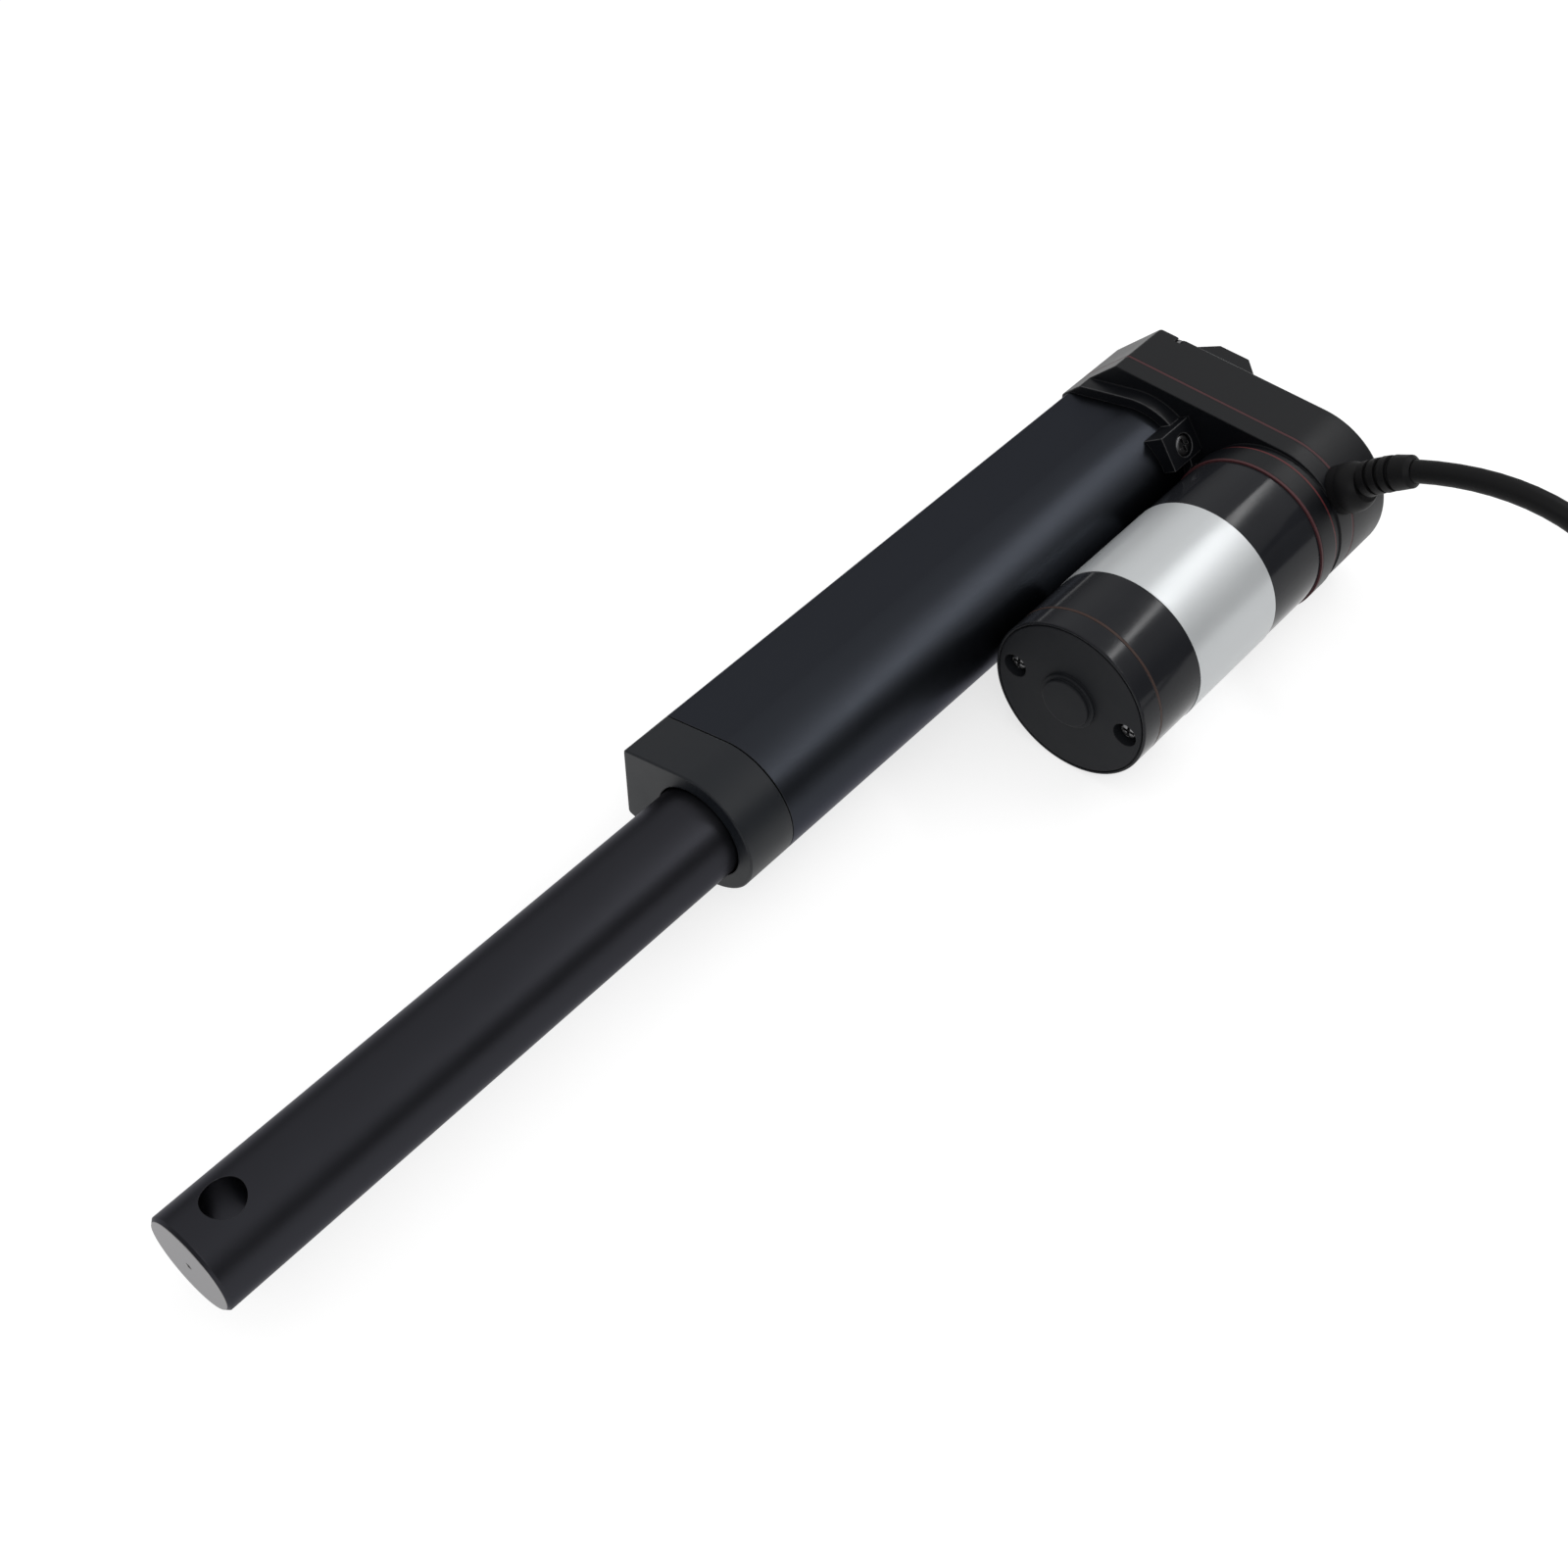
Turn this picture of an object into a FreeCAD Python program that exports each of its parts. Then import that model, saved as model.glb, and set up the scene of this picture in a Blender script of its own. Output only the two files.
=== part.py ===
import FreeCAD, Part
import math
import os
import re
import Sketcher

# Parallel-drive electric linear actuator, in millimetres.
# X runs along the rod towards its free end, Y from the rod axis to the motor axis, Z is up.
# The origin is the centre of the rear pivot hole, and the rod stands fully extended.

# Driving dimensions
dimensions = {
    # Rear pivot lug
    "pivot_hole_radius": 4.0,
    "lug_end": 9.0,
    "lug_half_width": 8.5,
    "lug_half_height": 7.4,
    "lug_chamfer": 4.6,
    "lug_root": 1.0,
    # Gearbox, stations along X and the outline across it
    "cover_rear": 7.8,
    "parting": 21.4,
    "gearbox_front": 26.3,
    "gearbox_half_height": 19.0,
    "gearbox_wall": 2.5,
    "gearbox_end": 20.8,
    "gearbox_end_half": 7.92,
    "shoulder_start": 10.4,
    "gearbox_corner": 1.2,
    "cover_edge_round": 1.2,
    "gearbox_round_middle": 32.5,
    "gasket_thickness": 0.6,
    "motor_offset": 33.0,
    # Cover screws
    "cover_screw_near": 4.8,
    "cover_screw_near_height": 16.3,
    "cover_screw_far": 36.5,
    "cover_screw_far_height": 15.0,
    "cover_post_radius": 2.5,
    "cover_post_rear": 9.3,
    "cover_post_front": 25.8,
    "cover_head_radius": 2.5,
    "cover_head_room": 2.75,
    "cover_head_depth": 2.4,
    "cover_head_sink": 0.3,
    "head_edge": 0.4,
    "cover_screw_radius": 1.5,
    "cover_screw_tip": 25.0,
    # Collar that holds the tube, with its locking screw
    "collar_front": 30.0,
    "collar_wall": 2.4,
    "lock_front": 36.5,
    "lock_height": 17.0,
    "lock_base": 10.0,
    "lock_low": -1.2,
    "lock_high": 7.0,
    "lock_lift": 36.0,
    "lock_screw_station": 30.9,
    "lock_screw_across": 2.4,
    "lock_screw_radius": 1.5,
    "lock_head_radius": 2.4,
    "lock_head_room": 2.6,
    "lock_head_seat": 15.4,
    "lock_head_top": 16.8,
    "lock_hole_start": 12.0,
    "lock_hole_end": 21.0,
    # Tube and front cap
    "tube_radius": 13.75,
    "tube_wall": 1.75,
    "tube_end": 19.5,
    "tube_end_half": 9.2,
    "tube_corner": 1.1,
    "tube_front": 162.6,
    "cap_seam": 0.3,
    "cap_front": 174.5,
    "cap_edge": 0.3,
    "spigot_rear": 150.5,
    "fit_gap": 0.1,
    "bush_front": 168.5,
    "bush_radius": 11.1,
    "seal_front": 171.5,
    "seal_radius": 12.0,
    "seal_groove": 0.5,
    "rod_opening_radius": 10.4,
    "running_gap": 0.05,
    # Rod and drive nut
    "rod_radius": 10.0,
    "rod_rear": 146.0,
    "rod_end": 297.3,
    "rod_bore": 6.0,
    "rod_bore_end": 260.0,
    "rod_hole_station": 287.7,
    "rod_hole_radius": 4.0,
    "rod_end_chamfer": 0.7,
    "rod_centre_mark": 0.8,
    "rod_drill_tip": 2.0,
    "nut_rear": 138.0,
    "nut_radius": 11.6,
    "nut_end": 12.4,
    "nut_neck_radius": 8.0,
    "nut_neck_front": 156.0,
    # Lead screw and its bearings
    "screw_radius": 5.0,
    "screw_front": 157.0,
    "screw_tip_chamfer": 1.0,
    "journal_radius": 4.0,
    "journal_rear": 5.5,
    "journal_chamfer": 0.5,
    "circlip_height": 1.6,
    "spacer_height": 0.3,
    "shield_depth": 0.5,
    "thrust_radius": 7.0,
    "thrust_rear": 29.8,
    "thrust_gap": 0.1,
    "thrust_front": 33.0,
    "front_bearing_radius": 9.5,
    "rear_bearing_radius": 8.0,
    "rear_bearing_rear": 5.3,
    "rear_bearing_front": 10.3,
    "hub_radius": 11.7,
    "hub_front": 31.5,
    "hub_lip": 7.5,
    # Gear train
    "pressure_angle": 20.0,
    "backlash": 0.12,
    "first_module": 0.5,
    "second_module": 0.7,
    "pinion_teeth": 12,
    "first_wheel_teeth": 50,
    "second_wheel_teeth": 38,
    "screw_gear_rear": 12.0,
    "screw_gear_front": 18.0,
    "screw_web_outer": 10.6,
    "screw_web_inner": 6.5,
    "screw_web_depth": 1.5,
    "idler_rear": 11.4,
    "first_wheel_rear": 19.0,
    "first_wheel_front": 23.0,
    "idler_web_outer": 10.3,
    "idler_web_inner": 4.0,
    "idler_web_depth": 1.2,
    "pinion_rear": 18.6,
    "pinion_front": 23.6,
    "idler_pin_radius": 1.5,
    "idler_pin_rear": 8.6,
    "idler_pin_front": 25.0,
    # Motor
    "motor_radius": 18.5,
    "can_wall": 1.2,
    "mount_ring_radius": 18.2,
    "mount_ring_front": 28.5,
    "rear_gasket_inner": 14.0,
    "rear_gasket_radius": 18.7,
    "flange_radius": 18.9,
    "flange_room": 0.5,
    "flange_rear": 29.1,
    "flange_front": 34.0,
    "flange_recess_radius": 11.5,
    "flange_recess_rear": 32.8,
    "flange_nose_radius": 4.95,
    "flange_nose_rear": 24.5,
    "can_rear": 34.6,
    "can_front": 93.4,
    "end_cap_rear": 94.0,
    "end_cap_front": 99.4,
    "end_cap_chamfer": 0.4,
    "end_boss_radius": 6.5,
    "end_boss_step": 0.8,
    "end_boss_top_radius": 5.6,
    "label_rear": 52.3,
    "label_front": 80.0,
    "label_thickness": 0.14,
    "shaft_radius": 1.55,
    "shaft_rear": 18.2,
    "shaft_front": 97.0,
    "shaft_room": 0.5,
    "motor_bush_radius": 3.5,
    "front_bush_rear": 25.3,
    "front_bush_front": 30.0,
    "end_bush_front": 97.4,
    "end_bush_seat": 97.5,
    "through_screw_circle": 13.8,
    "through_screw_tilt": 2.5,
    "through_screw_radius": 1.4,
    "through_head_radius": 1.9,
    "through_head_room": 2.2,
    "through_head_seat": 95.9,
    "through_head_top": 97.4,
    "through_hole_rear": 31.1,
    "through_screw_rear": 31.3,
    "mount_screw_height": 8.0,
    "mount_screw_tip": 32.2,
    "mount_head_height": 1.8,
    # Inside the motor
    "magnet_rear": 42.0,
    "magnet_front": 79.0,
    "magnet_inner": 12.4,
    "magnet_half_angle": 62.0,
    "core_rear": 46.0,
    "core_front": 76.0,
    "core_radius": 11.6,
    "core_slots": 5,
    "slot_bottom": 6.0,
    "slot_bottom_half": 2.0,
    "slot_wide": 9.8,
    "slot_wide_half": 3.2,
    "slot_mouth": 10.6,
    "slot_mouth_half": 0.8,
    "slot_outside": 13.0,
    "winding_rear": 40.5,
    "winding_front": 79.5,
    "winding_inner": 3.2,
    "winding_end_inner": 4.0,
    "winding_radius": 10.6,
    "winding_belly": 10.9,
    "winding_end_radius": 9.0,
    "commutator_rear": 80.5,
    "commutator_front": 88.0,
    "commutator_radius": 4.5,
    "card_rear": 86.5,
    "card_front": 88.5,
    "card_bore": 6.0,
    "card_screw_room": 0.3,
    "brush_rear": 82.5,
    "brush_length": 4.0,
    "brush_width": 3.6,
    "brush_height": 6.0,
    "brush_inner": 4.8,
    # Limit switch board
    "board_rear": 38.0,
    "board_front": 149.0,
    "board_outer": 17.2,
    "board_inner": 16.2,
    "board_half_height": 6.0,
    "switch_inner": 13.4,
    "plunger_inner": 12.8,
    "switch_length": 6.5,
    "switch_half_height": 2.9,
    "switch_margin": 1.0,
    "plunger_length": 1.6,
    "plunger_half_height": 1.2,
    "plunger_step": 1.2,
    # Cable gland and cord
    "gland_lift": 42.0,
    "gland_neck_radius": 3.8,
    "gland_neck_start": 15.0,
    "gland_neck_end": 21.0,
    "gland_foot": 17.5,
    "gland_dome_start": 20.7,
    "gland_dome_end": 25.2,
    "gland_dome_radius": 5.4,
    "gland_sleeve_radius": 3.9,
    "gland_cuff_radius": 3.5,
    "gland_groove_radius": 3.0,
    "gland_middle_y": 54.2,
    "gland_middle_z": 21.0,
    "gland_end_y": 60.9,
    "gland_end_z": 25.9,
    "gland_ribs": 3,
    "gland_first_rib": 7.3,
    "gland_rib_pitch": 2.6,
    "gland_rib_width": 1.65,
    "rib_taper": 0.1,
    "gland_cuff_start": 15.1,
    "gland_cuff_chamfer": 0.9,
    "cord_radius": 2.5,
    "coil_inner": 24.5,
    "coil_outer": 34.5,
    "coil_height": 10.0,
    "coil_middle_y": 178.0,
}

document = FreeCAD.newDocument("linear_actuator")
sheet = document.addObject("Spreadsheet::Sheet", "Sizes")
for row, (name, number) in enumerate(dimensions.items(), start=1):
    sheet.set(f"A{row}", name)
    sheet.set(f"B{row}", str(number))
    sheet.setAlias(f"B{row}", name)
document.recompute()

nodes = []


def size(words):
    return float(sheet.evalExpression(words))


def named(words):
    """Puts the sheet's name before each dimension in an expression."""
    tight = words.replace("( ", "(").replace(" )", ")").replace("cos (", "cos(").replace("sin (", "sin(")

    def with_sheet(found):
        return "Sizes." + found[0] if found[0] in dimensions else found[0]

    return re.sub(r"[a-z_]+", with_sheet, tight)


def bind(item, field, words):
    item.setExpression(field, named(words))


# Sketches and features

def new_body(label, keep=True):
    body = document.addObject("PartDesign::Body", label)
    body.Label = label
    if keep:
        nodes.append(body)
    return body


def new_sketch(body, role, lift="0", name="outline"):
    """A sketch on one of the body's own planes, lifted along that plane's normal."""
    plane = next(item for item in body.Origin.OriginFeatures if item.Role == role)
    sketch = body.newObject("Sketcher::SketchObject", f"{body.Label}_{name}")
    sketch.AttachmentSupport = [(plane, "")]
    sketch.MapMode = "FlatFace"
    bind(sketch, "AttachmentOffset.Base.z", lift)
    return sketch


def draw(sketch, edges):
    sketch.addGeometry(edges, False)
    return sketch


def draw_circle(sketch, radius, across="0", up="0"):
    """A circle whose radius and centre are held by the sheet."""
    centre = FreeCAD.Vector(size(named(across)), size(named(up)), 0)
    index = sketch.addGeometry(Part.Circle(centre, FreeCAD.Vector(0, 0, 1), size(named(radius))), False)
    limits = (
        (Sketcher.Constraint("Radius", index, size(named(radius))), radius),
        (Sketcher.Constraint("DistanceX", -1, 1, index, 3, centre.x), across),
        (Sketcher.Constraint("DistanceY", -1, 1, index, 3, centre.y), up),
    )
    for limit, words in limits:
        bind(sketch, f"Constraints[{sketch.addConstraint(limit)}]", words)
    return sketch


def draw_polygon(sketch, corners):
    """A closed polygon whose corners are held by the sheet."""
    spots = [FreeCAD.Vector(size(named(across)), size(named(up)), 0) for across, up in corners]
    count = len(spots)
    for index in range(count):
        sketch.addGeometry(Part.LineSegment(spots[index], spots[(index + 1) % count]), False)
    for index in range(count):
        sketch.addConstraint(Sketcher.Constraint("Coincident", index, 2, (index + 1) % count, 1))
    for index, (across, up) in enumerate(corners):
        place = spots[index]
        for kind, words, number in (("DistanceX", across, place.x), ("DistanceY", up, place.y)):
            limit = sketch.addConstraint(Sketcher.Constraint(kind, -1, 1, index, 1, number))
            bind(sketch, f"Constraints[{limit}]", words)
    return sketch


def pad(body, sketch, length):
    feature = body.newObject("PartDesign::Pad", f"{sketch.Name}_pad")
    feature.Profile = sketch
    bind(feature, "Length", length)
    document.recompute()
    return feature


def pocket(body, sketch, length, forward=True):
    """Cuts from the sketch along its normal, and makes sure that material went."""
    before = body.Shape.Volume
    feature = body.newObject("PartDesign::Pocket", f"{sketch.Name}_pocket")
    feature.Profile = sketch
    feature.Reversed = forward
    bind(feature, "Length", length)
    document.recompute()
    if not body.Shape.Volume < before:
        raise RuntimeError(f"{sketch.Name} cuts nothing")
    return feature


def drill(body, name, start, depth, radius, places):
    """Round holes along X at (Y, Z) places, from one station forwards."""
    sketch = new_sketch(body, "YZ_Plane", start, name)
    for across, up in places:
        draw_circle(sketch, radius, across, up)
    return pocket(body, sketch, depth)


def turned(label, half_section, across="0", keep=True):
    """A round piece about an axis along X, from corners given as station and radius."""
    body = new_body(label, keep)
    sketch = draw_polygon(new_sketch(body, "XZ_Plane", name="half_section"), half_section)
    feature = body.newObject("PartDesign::Revolution", f"{label}_turned")
    feature.Profile = sketch
    feature.ReferenceAxis = (sketch, ["H_Axis"])
    feature.Angle = 360
    bind(body, "Placement.Base.y", across)
    document.recompute()
    return body


def ring(label, rear, front, inner, outer, across="0"):
    return turned(label, [(rear, inner), (front, inner), (front, outer), (rear, outer)], across)


def group(label, bodies):
    """Like pieces that share one node."""
    item = document.addObject("Part::Compound", label)
    item.Label = label
    item.Links = bodies
    nodes.append(item)
    document.recompute()
    return item


def edges_at(body, station):
    """Names of the edges that lie in the plane across X at a station."""
    names = []
    for index, edge in enumerate(body.Shape.Edges, start=1):
        if abs(edge.BoundBox.XMin - station) < 1e-6 and abs(edge.BoundBox.XMax - station) < 1e-6:
            names.append(f"Edge{index}")
    return names


def dress(body, kind, edges, field, amount):
    """Rounds or chamfers the named edges of what the body is so far."""
    so_far = body.Tip
    feature = body.newObject(f"PartDesign::{kind}", f"{body.Label}_{kind.lower()}")
    feature.Base = (so_far, edges)
    bind(feature, field, amount)
    document.recompute()
    return feature


def repeat_round(body, name, cut, count):
    """Repeats a cut evenly about the body's X axis."""
    pattern = body.newObject("PartDesign::PolarPattern", f"{body.Label}_{name}")
    pattern.Originals = [cut]
    axis = next(item for item in body.Origin.OriginFeatures if item.Role == "X_Axis")
    pattern.Axis = (axis, [""])
    pattern.Angle = 360
    bind(pattern, "Occurrences", count)
    body.Tip = pattern
    document.recompute()


# Outlines across X

def spot(across, up):
    return FreeCAD.Vector(across, up, 0)


def line(start, end):
    return Part.LineSegment(start, end)


def arc(start, middle, end):
    return Part.Arc(start, middle, end)


def corner_arc(before, corner, after, radius):
    """The tangent arc that rounds a corner."""
    back = (before - corner).normalize()
    ahead = (after - corner).normalize()
    half = back.getAngle(ahead) / 2
    start = corner + back * (radius / math.tan(half))
    end = corner + ahead * (radius / math.tan(half))
    middle_way = (back + ahead).normalize()
    middle = corner + middle_way * (radius / math.sin(half) - radius)
    return start, middle, end


def tapered_outline(radius, end, end_half, corner):
    """A round end about the rod axis, with tangent sides that close in on a flat end at -Y."""
    tip = math.atan2(end_half, -end)
    touch = tip - math.acos(radius / math.hypot(end, end_half))
    top = spot(radius * math.cos(touch), radius * math.sin(touch))
    bottom = spot(top.x, -top.y)
    upper = spot(-end, end_half)
    lower = spot(-end, -end_half)
    upper_start, upper_middle, upper_end = corner_arc(top, upper, lower, corner)
    lower_start, lower_middle, lower_end = corner_arc(upper, lower, bottom, corner)
    return [
        arc(bottom, spot(radius, 0), top),
        line(top, upper_start),
        arc(upper_start, upper_middle, upper_end),
        line(upper_end, lower_start),
        arc(lower_start, lower_middle, lower_end),
        line(lower_end, bottom),
    ]


def tube_outline(inset, end=None):
    """The tube's outline moved inwards, with its sides kept parallel, and its flat end at a given place."""
    outer_radius, outer_end, outer_half = size("tube_radius"), size("tube_end"), size("tube_end_half")
    side = math.atan2(outer_half, -outer_end) - math.acos(outer_radius / math.hypot(outer_end, outer_half))
    radius = outer_radius - inset
    end = outer_end - inset if end is None else end
    end_half = (radius + end * math.cos(side)) / math.sin(side)
    return tapered_outline(radius, end, end_half, size("tube_corner"))


def below(place):
    return spot(place.x, -place.y)


def shoulder_line(inset):
    """The sloped shoulder of the gearbox as a direction outwards and a distance."""
    top, end = size("gearbox_half_height"), size("gearbox_end")
    outwards = spot(size("gearbox_end_half") - top, end - size("shoulder_start")).normalize()
    return outwards, outwards.dot(spot(-size("shoulder_start"), top)) - inset


def gearbox_outline(inset=0.0):
    """Flat top and bottom, one round end, and sloped shoulders down to the flat end at -Y."""
    top = size("gearbox_half_height") - inset
    end = size("gearbox_end") - inset
    middle = size("gearbox_round_middle")
    slope, reach = shoulder_line(inset)
    shoulder = spot((reach - slope.y * top) / slope.x, top)
    heel = spot(-end, (reach + slope.x * end) / slope.y)
    corner = size("gearbox_corner")
    upper = [spot(middle, top), shoulder, heel, spot(-end, 0)]
    first = corner_arc(*upper[:3], corner)
    second = corner_arc(*upper[1:], corner)
    half = [line(upper[0], first[0]), arc(*first), line(first[2], second[0]), arc(*second)]
    flat = line(second[2], below(second[2]))
    lower = [
        arc(*(below(place) for place in reversed(second))),
        line(below(second[0]), below(first[2])),
        arc(*(below(place) for place in reversed(first))),
        line(below(first[0]), below(upper[0])),
    ]
    return half + [flat] + lower + [arc(below(upper[0]), spot(middle + top, 0), upper[0])]


def collar_outline():
    """Follows the tube at a distance, and is cut off by the gearbox's shoulders and flat end."""
    tip = math.atan2(size("tube_end_half"), -size("tube_end"))
    touch = tip - math.acos(size("tube_radius") / math.hypot(size("tube_end"), size("tube_end_half")))
    radius = size("tube_radius + collar_wall")
    side = spot(math.cos(touch), math.sin(touch))
    slope, reach = shoulder_line(0.0)
    cross = side.x * slope.y - side.y * slope.x
    bend = spot((radius * slope.y - reach * side.y) / cross, (reach * side.x - radius * slope.x) / cross)
    end = size("gearbox_end")
    heel = spot(-end, (reach + slope.x * end) / slope.y)
    heel_arc = corner_arc(bend, heel, below(heel), size("gearbox_corner"))
    top = side * radius
    return [
        arc(below(top), spot(radius, 0), top),
        line(top, bend),
        line(bend, heel_arc[0]),
        arc(*heel_arc),
        line(heel_arc[2], below(heel_arc[2])),
        arc(*(below(place) for place in reversed(heel_arc))),
        line(below(heel_arc[0]), below(bend)),
        line(below(bend), below(top)),
    ]


cover_screw_places = [
    ("-1 * cover_screw_near", "cover_screw_near_height"),
    ("-1 * cover_screw_near", "-1 * cover_screw_near_height"),
    ("cover_screw_far", "cover_screw_far_height"),
    ("cover_screw_far", "-1 * cover_screw_far_height"),
]
mount_screw_places = [("motor_offset", "mount_screw_height"), ("motor_offset", "-1 * mount_screw_height")]
through_screws_in_motor = [
    (
        f"{side} * through_screw_circle * cos ( through_screw_tilt )",
        f"{side} * -1 * through_screw_circle * sin ( through_screw_tilt )",
    )
    for side in (-1, 1)
]
through_screw_places = [(f"motor_offset + {across}", up) for across, up in through_screws_in_motor]
idler_place = "first_module * ( pinion_teeth + first_wheel_teeth ) / 2"
idler_across = f"motor_offset - {idler_place}"
gasket_rear = "parting - gasket_thickness / 2"
gasket_front = "parting + gasket_thickness / 2"
cavity_front = "gearbox_front - gearbox_wall"
cavity_rear = "cover_rear + gearbox_wall"


def cut_gland_seat(label, piece):
    """The half-round seat that traps the cable gland between the two gearbox halves."""
    cut = document.addObject("Part::Cut", label)
    cut.Label = label
    cut.Base = piece
    cut.Tool = gland_cylinder(
        f"{label}_gland_seat", "gland_neck_radius", "gland_neck_start", "gland_dome_end")
    nodes.append(cut)
    document.recompute()


def gland_cylinder(label, radius, start, end):
    """A cylinder on the axis of the gland's foot, between two distances from the round end's middle."""
    lift = math.radians(size("gland_lift"))
    way = FreeCAD.Vector(0, math.cos(lift), math.sin(lift))
    item = document.addObject("Part::Cylinder", label)
    bind(item, "Radius", radius)
    bind(item, "Height", f"{end} - {start}")
    item.Placement.Rotation = FreeCAD.Rotation(FreeCAD.Vector(0, 0, 1), way)
    bind(item, "Placement.Base.x", "parting")
    bind(item, "Placement.Base.y", f"gearbox_round_middle + {start} * cos ( gland_lift )")
    bind(item, "Placement.Base.z", f"{start} * sin ( gland_lift )")
    return item


# Tube, front cap, bush and seal

def make_tube():
    body = new_body("outer_tube")
    length = "tube_front - cap_seam - gearbox_front"
    pad(body, draw(new_sketch(body, "YZ_Plane", "gearbox_front"), tube_outline(0)), length)
    inside = draw(new_sketch(body, "YZ_Plane", "gearbox_front", "channel"), tube_outline(size("tube_wall")))
    pocket(body, inside, length)


def make_front_cap():
    body = new_body("front_cap")
    pad(body, draw(new_sketch(body, "YZ_Plane", "tube_front"), tube_outline(0)), "cap_front - tube_front")
    dress(body, "Chamfer", edges_at(body, size("cap_front")), "Size", "cap_edge")
    spigot = new_sketch(body, "YZ_Plane", "spigot_rear", "spigot")
    pad(body, draw(spigot, tube_outline(size("tube_wall + fit_gap"))), "tube_front - spigot_rear")
    drill(body, "bush_seat", "spigot_rear", "bush_front - spigot_rear", "bush_radius", [("0", "0")])
    drill(body, "seal_seat", "bush_front", "seal_front - bush_front", "seal_radius", [("0", "0")])
    drill(body, "rod_opening", "seal_front", "cap_front - seal_front", "rod_opening_radius", [("0", "0")])


def make_bush_and_seal():
    bore = "rod_radius + running_gap"
    ring("rod_guide_bush", "spigot_rear", "bush_front", bore, "bush_radius")
    turned("rod_wiper_seal", [
        ("bush_front", bore),
        ("bush_front + 2 * seal_groove", "rod_radius + seal_groove"),
        ("seal_front - 2 * seal_groove", bore),
        ("seal_front", bore),
        ("seal_front", "seal_radius"),
        ("bush_front", "seal_radius"),
    ])


# Gearbox

def make_housing():
    body = new_body("gearbox_housing_body", keep=False)
    outline = draw(new_sketch(body, "YZ_Plane", gasket_front), gearbox_outline())
    pad(body, outline, f"gearbox_front - ({gasket_front})")
    cavity = new_sketch(body, "YZ_Plane", gasket_front, "cavity")
    draw(cavity, gearbox_outline(size("gearbox_wall")))
    pocket(body, cavity, f"{cavity_front} - ({gasket_front})")
    posts = new_sketch(body, "YZ_Plane", gasket_front, "posts")
    for across, up in cover_screw_places:
        draw_circle(posts, "cover_post_radius", across, up)
    pad(body, posts, f"cover_post_front - ({gasket_front})")
    mount = new_sketch(body, "YZ_Plane", "gearbox_front", "motor_mount")
    pad(body, draw_circle(mount, "mount_ring_radius", "motor_offset"), "mount_ring_front - gearbox_front")
    collar = new_sketch(body, "YZ_Plane", "gearbox_front", "collar")
    pad(body, draw(collar, collar_outline()), "collar_front - gearbox_front")
    block = new_sketch(body, "YZ_Plane", "gearbox_front", "lock_block")
    pad(body, draw(block, lock_block()), "lock_front - gearbox_front")
    socket = new_sketch(body, "YZ_Plane", "gearbox_front", "socket")
    pocket(body, draw(socket, tube_outline(0)), "lock_front - gearbox_front")
    hub = draw_circle(new_sketch(body, "YZ_Plane", "gearbox_front", "bearing_hub"), "hub_radius")
    pad(body, hub, "hub_front - gearbox_front")
    drill(body, "flange_room", "mount_ring_front", "lock_front - mount_ring_front",
          "flange_radius + flange_room", [("motor_offset", "0")])
    drill(body, "bearing_seat", cavity_front, f"thrust_rear - ({cavity_front})",
          "front_bearing_radius", [("0", "0")])
    drill(body, "bearing_lip", "thrust_rear", "hub_front - thrust_rear", "hub_lip", [("0", "0")])
    drill(body, "shaft_hole", cavity_front, f"mount_ring_front - ({cavity_front})",
          "flange_nose_radius + running_gap", [("motor_offset", "0")])
    drill(body, "pin_hole", cavity_front, f"idler_pin_front - ({cavity_front})", "idler_pin_radius",
          [(idler_across, "0")])
    drill(body, "cover_screw_holes", gasket_front, f"cover_screw_tip - ({gasket_front})",
          "cover_screw_radius", cover_screw_places)
    drill(body, "mount_screw_holes", cavity_front, f"mount_ring_front - ({cavity_front})",
          "cover_screw_radius", mount_screw_places)
    cut_gland_seat("gearbox_housing", cut_lock_hole(body))


def lock_block():
    """The block on the collar that takes the locking screw, square to the screw."""
    lift = math.radians(size("lock_lift"))
    up = spot(math.cos(lift), math.sin(lift))
    across = spot(-math.sin(lift), math.cos(lift))
    bottom, top = up * size("lock_base"), up * size("lock_height")
    low, high = across * size("lock_low"), across * size("lock_high")
    corners = [bottom + low, top + low, top + high, bottom + high]
    return [line(corners[index], corners[(index + 1) % 4]) for index in range(4)]


def lock_cylinder(label, radius, start, end):
    """A cylinder along the locking screw's axis, between two distances from the rod axis."""
    item = document.addObject("Part::Cylinder", label)
    bind(item, "Radius", radius)
    bind(item, "Height", f"{end} - ( {start} )")
    lift = math.radians(size("lock_lift"))
    item.Placement.Rotation = FreeCAD.Rotation(
        FreeCAD.Vector(0, 0, 1), FreeCAD.Vector(0, math.cos(lift), math.sin(lift)))
    along, aside = "cos ( lock_lift )", "sin ( lock_lift )"
    bind(item, "Placement.Base.x", "lock_screw_station")
    bind(item, "Placement.Base.y", f"( {start} ) * {along} - lock_screw_across * {aside}")
    bind(item, "Placement.Base.z", f"( {start} ) * {aside} + lock_screw_across * {along}")
    return item


def cut_lock_hole(body):
    """The stepped hole for the locking screw."""
    step = document.addObject("Part::Fuse", "lock_hole")
    step.Base = lock_cylinder("lock_hole_shank", "lock_screw_radius", "lock_hole_start", "lock_height")
    step.Tool = lock_cylinder("lock_hole_head", "lock_head_room", "lock_head_seat", "lock_hole_end")
    cut = document.addObject("Part::Cut", "housing_drilled")
    cut.Base = body
    cut.Tool = step
    document.recompute()
    return cut


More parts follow.
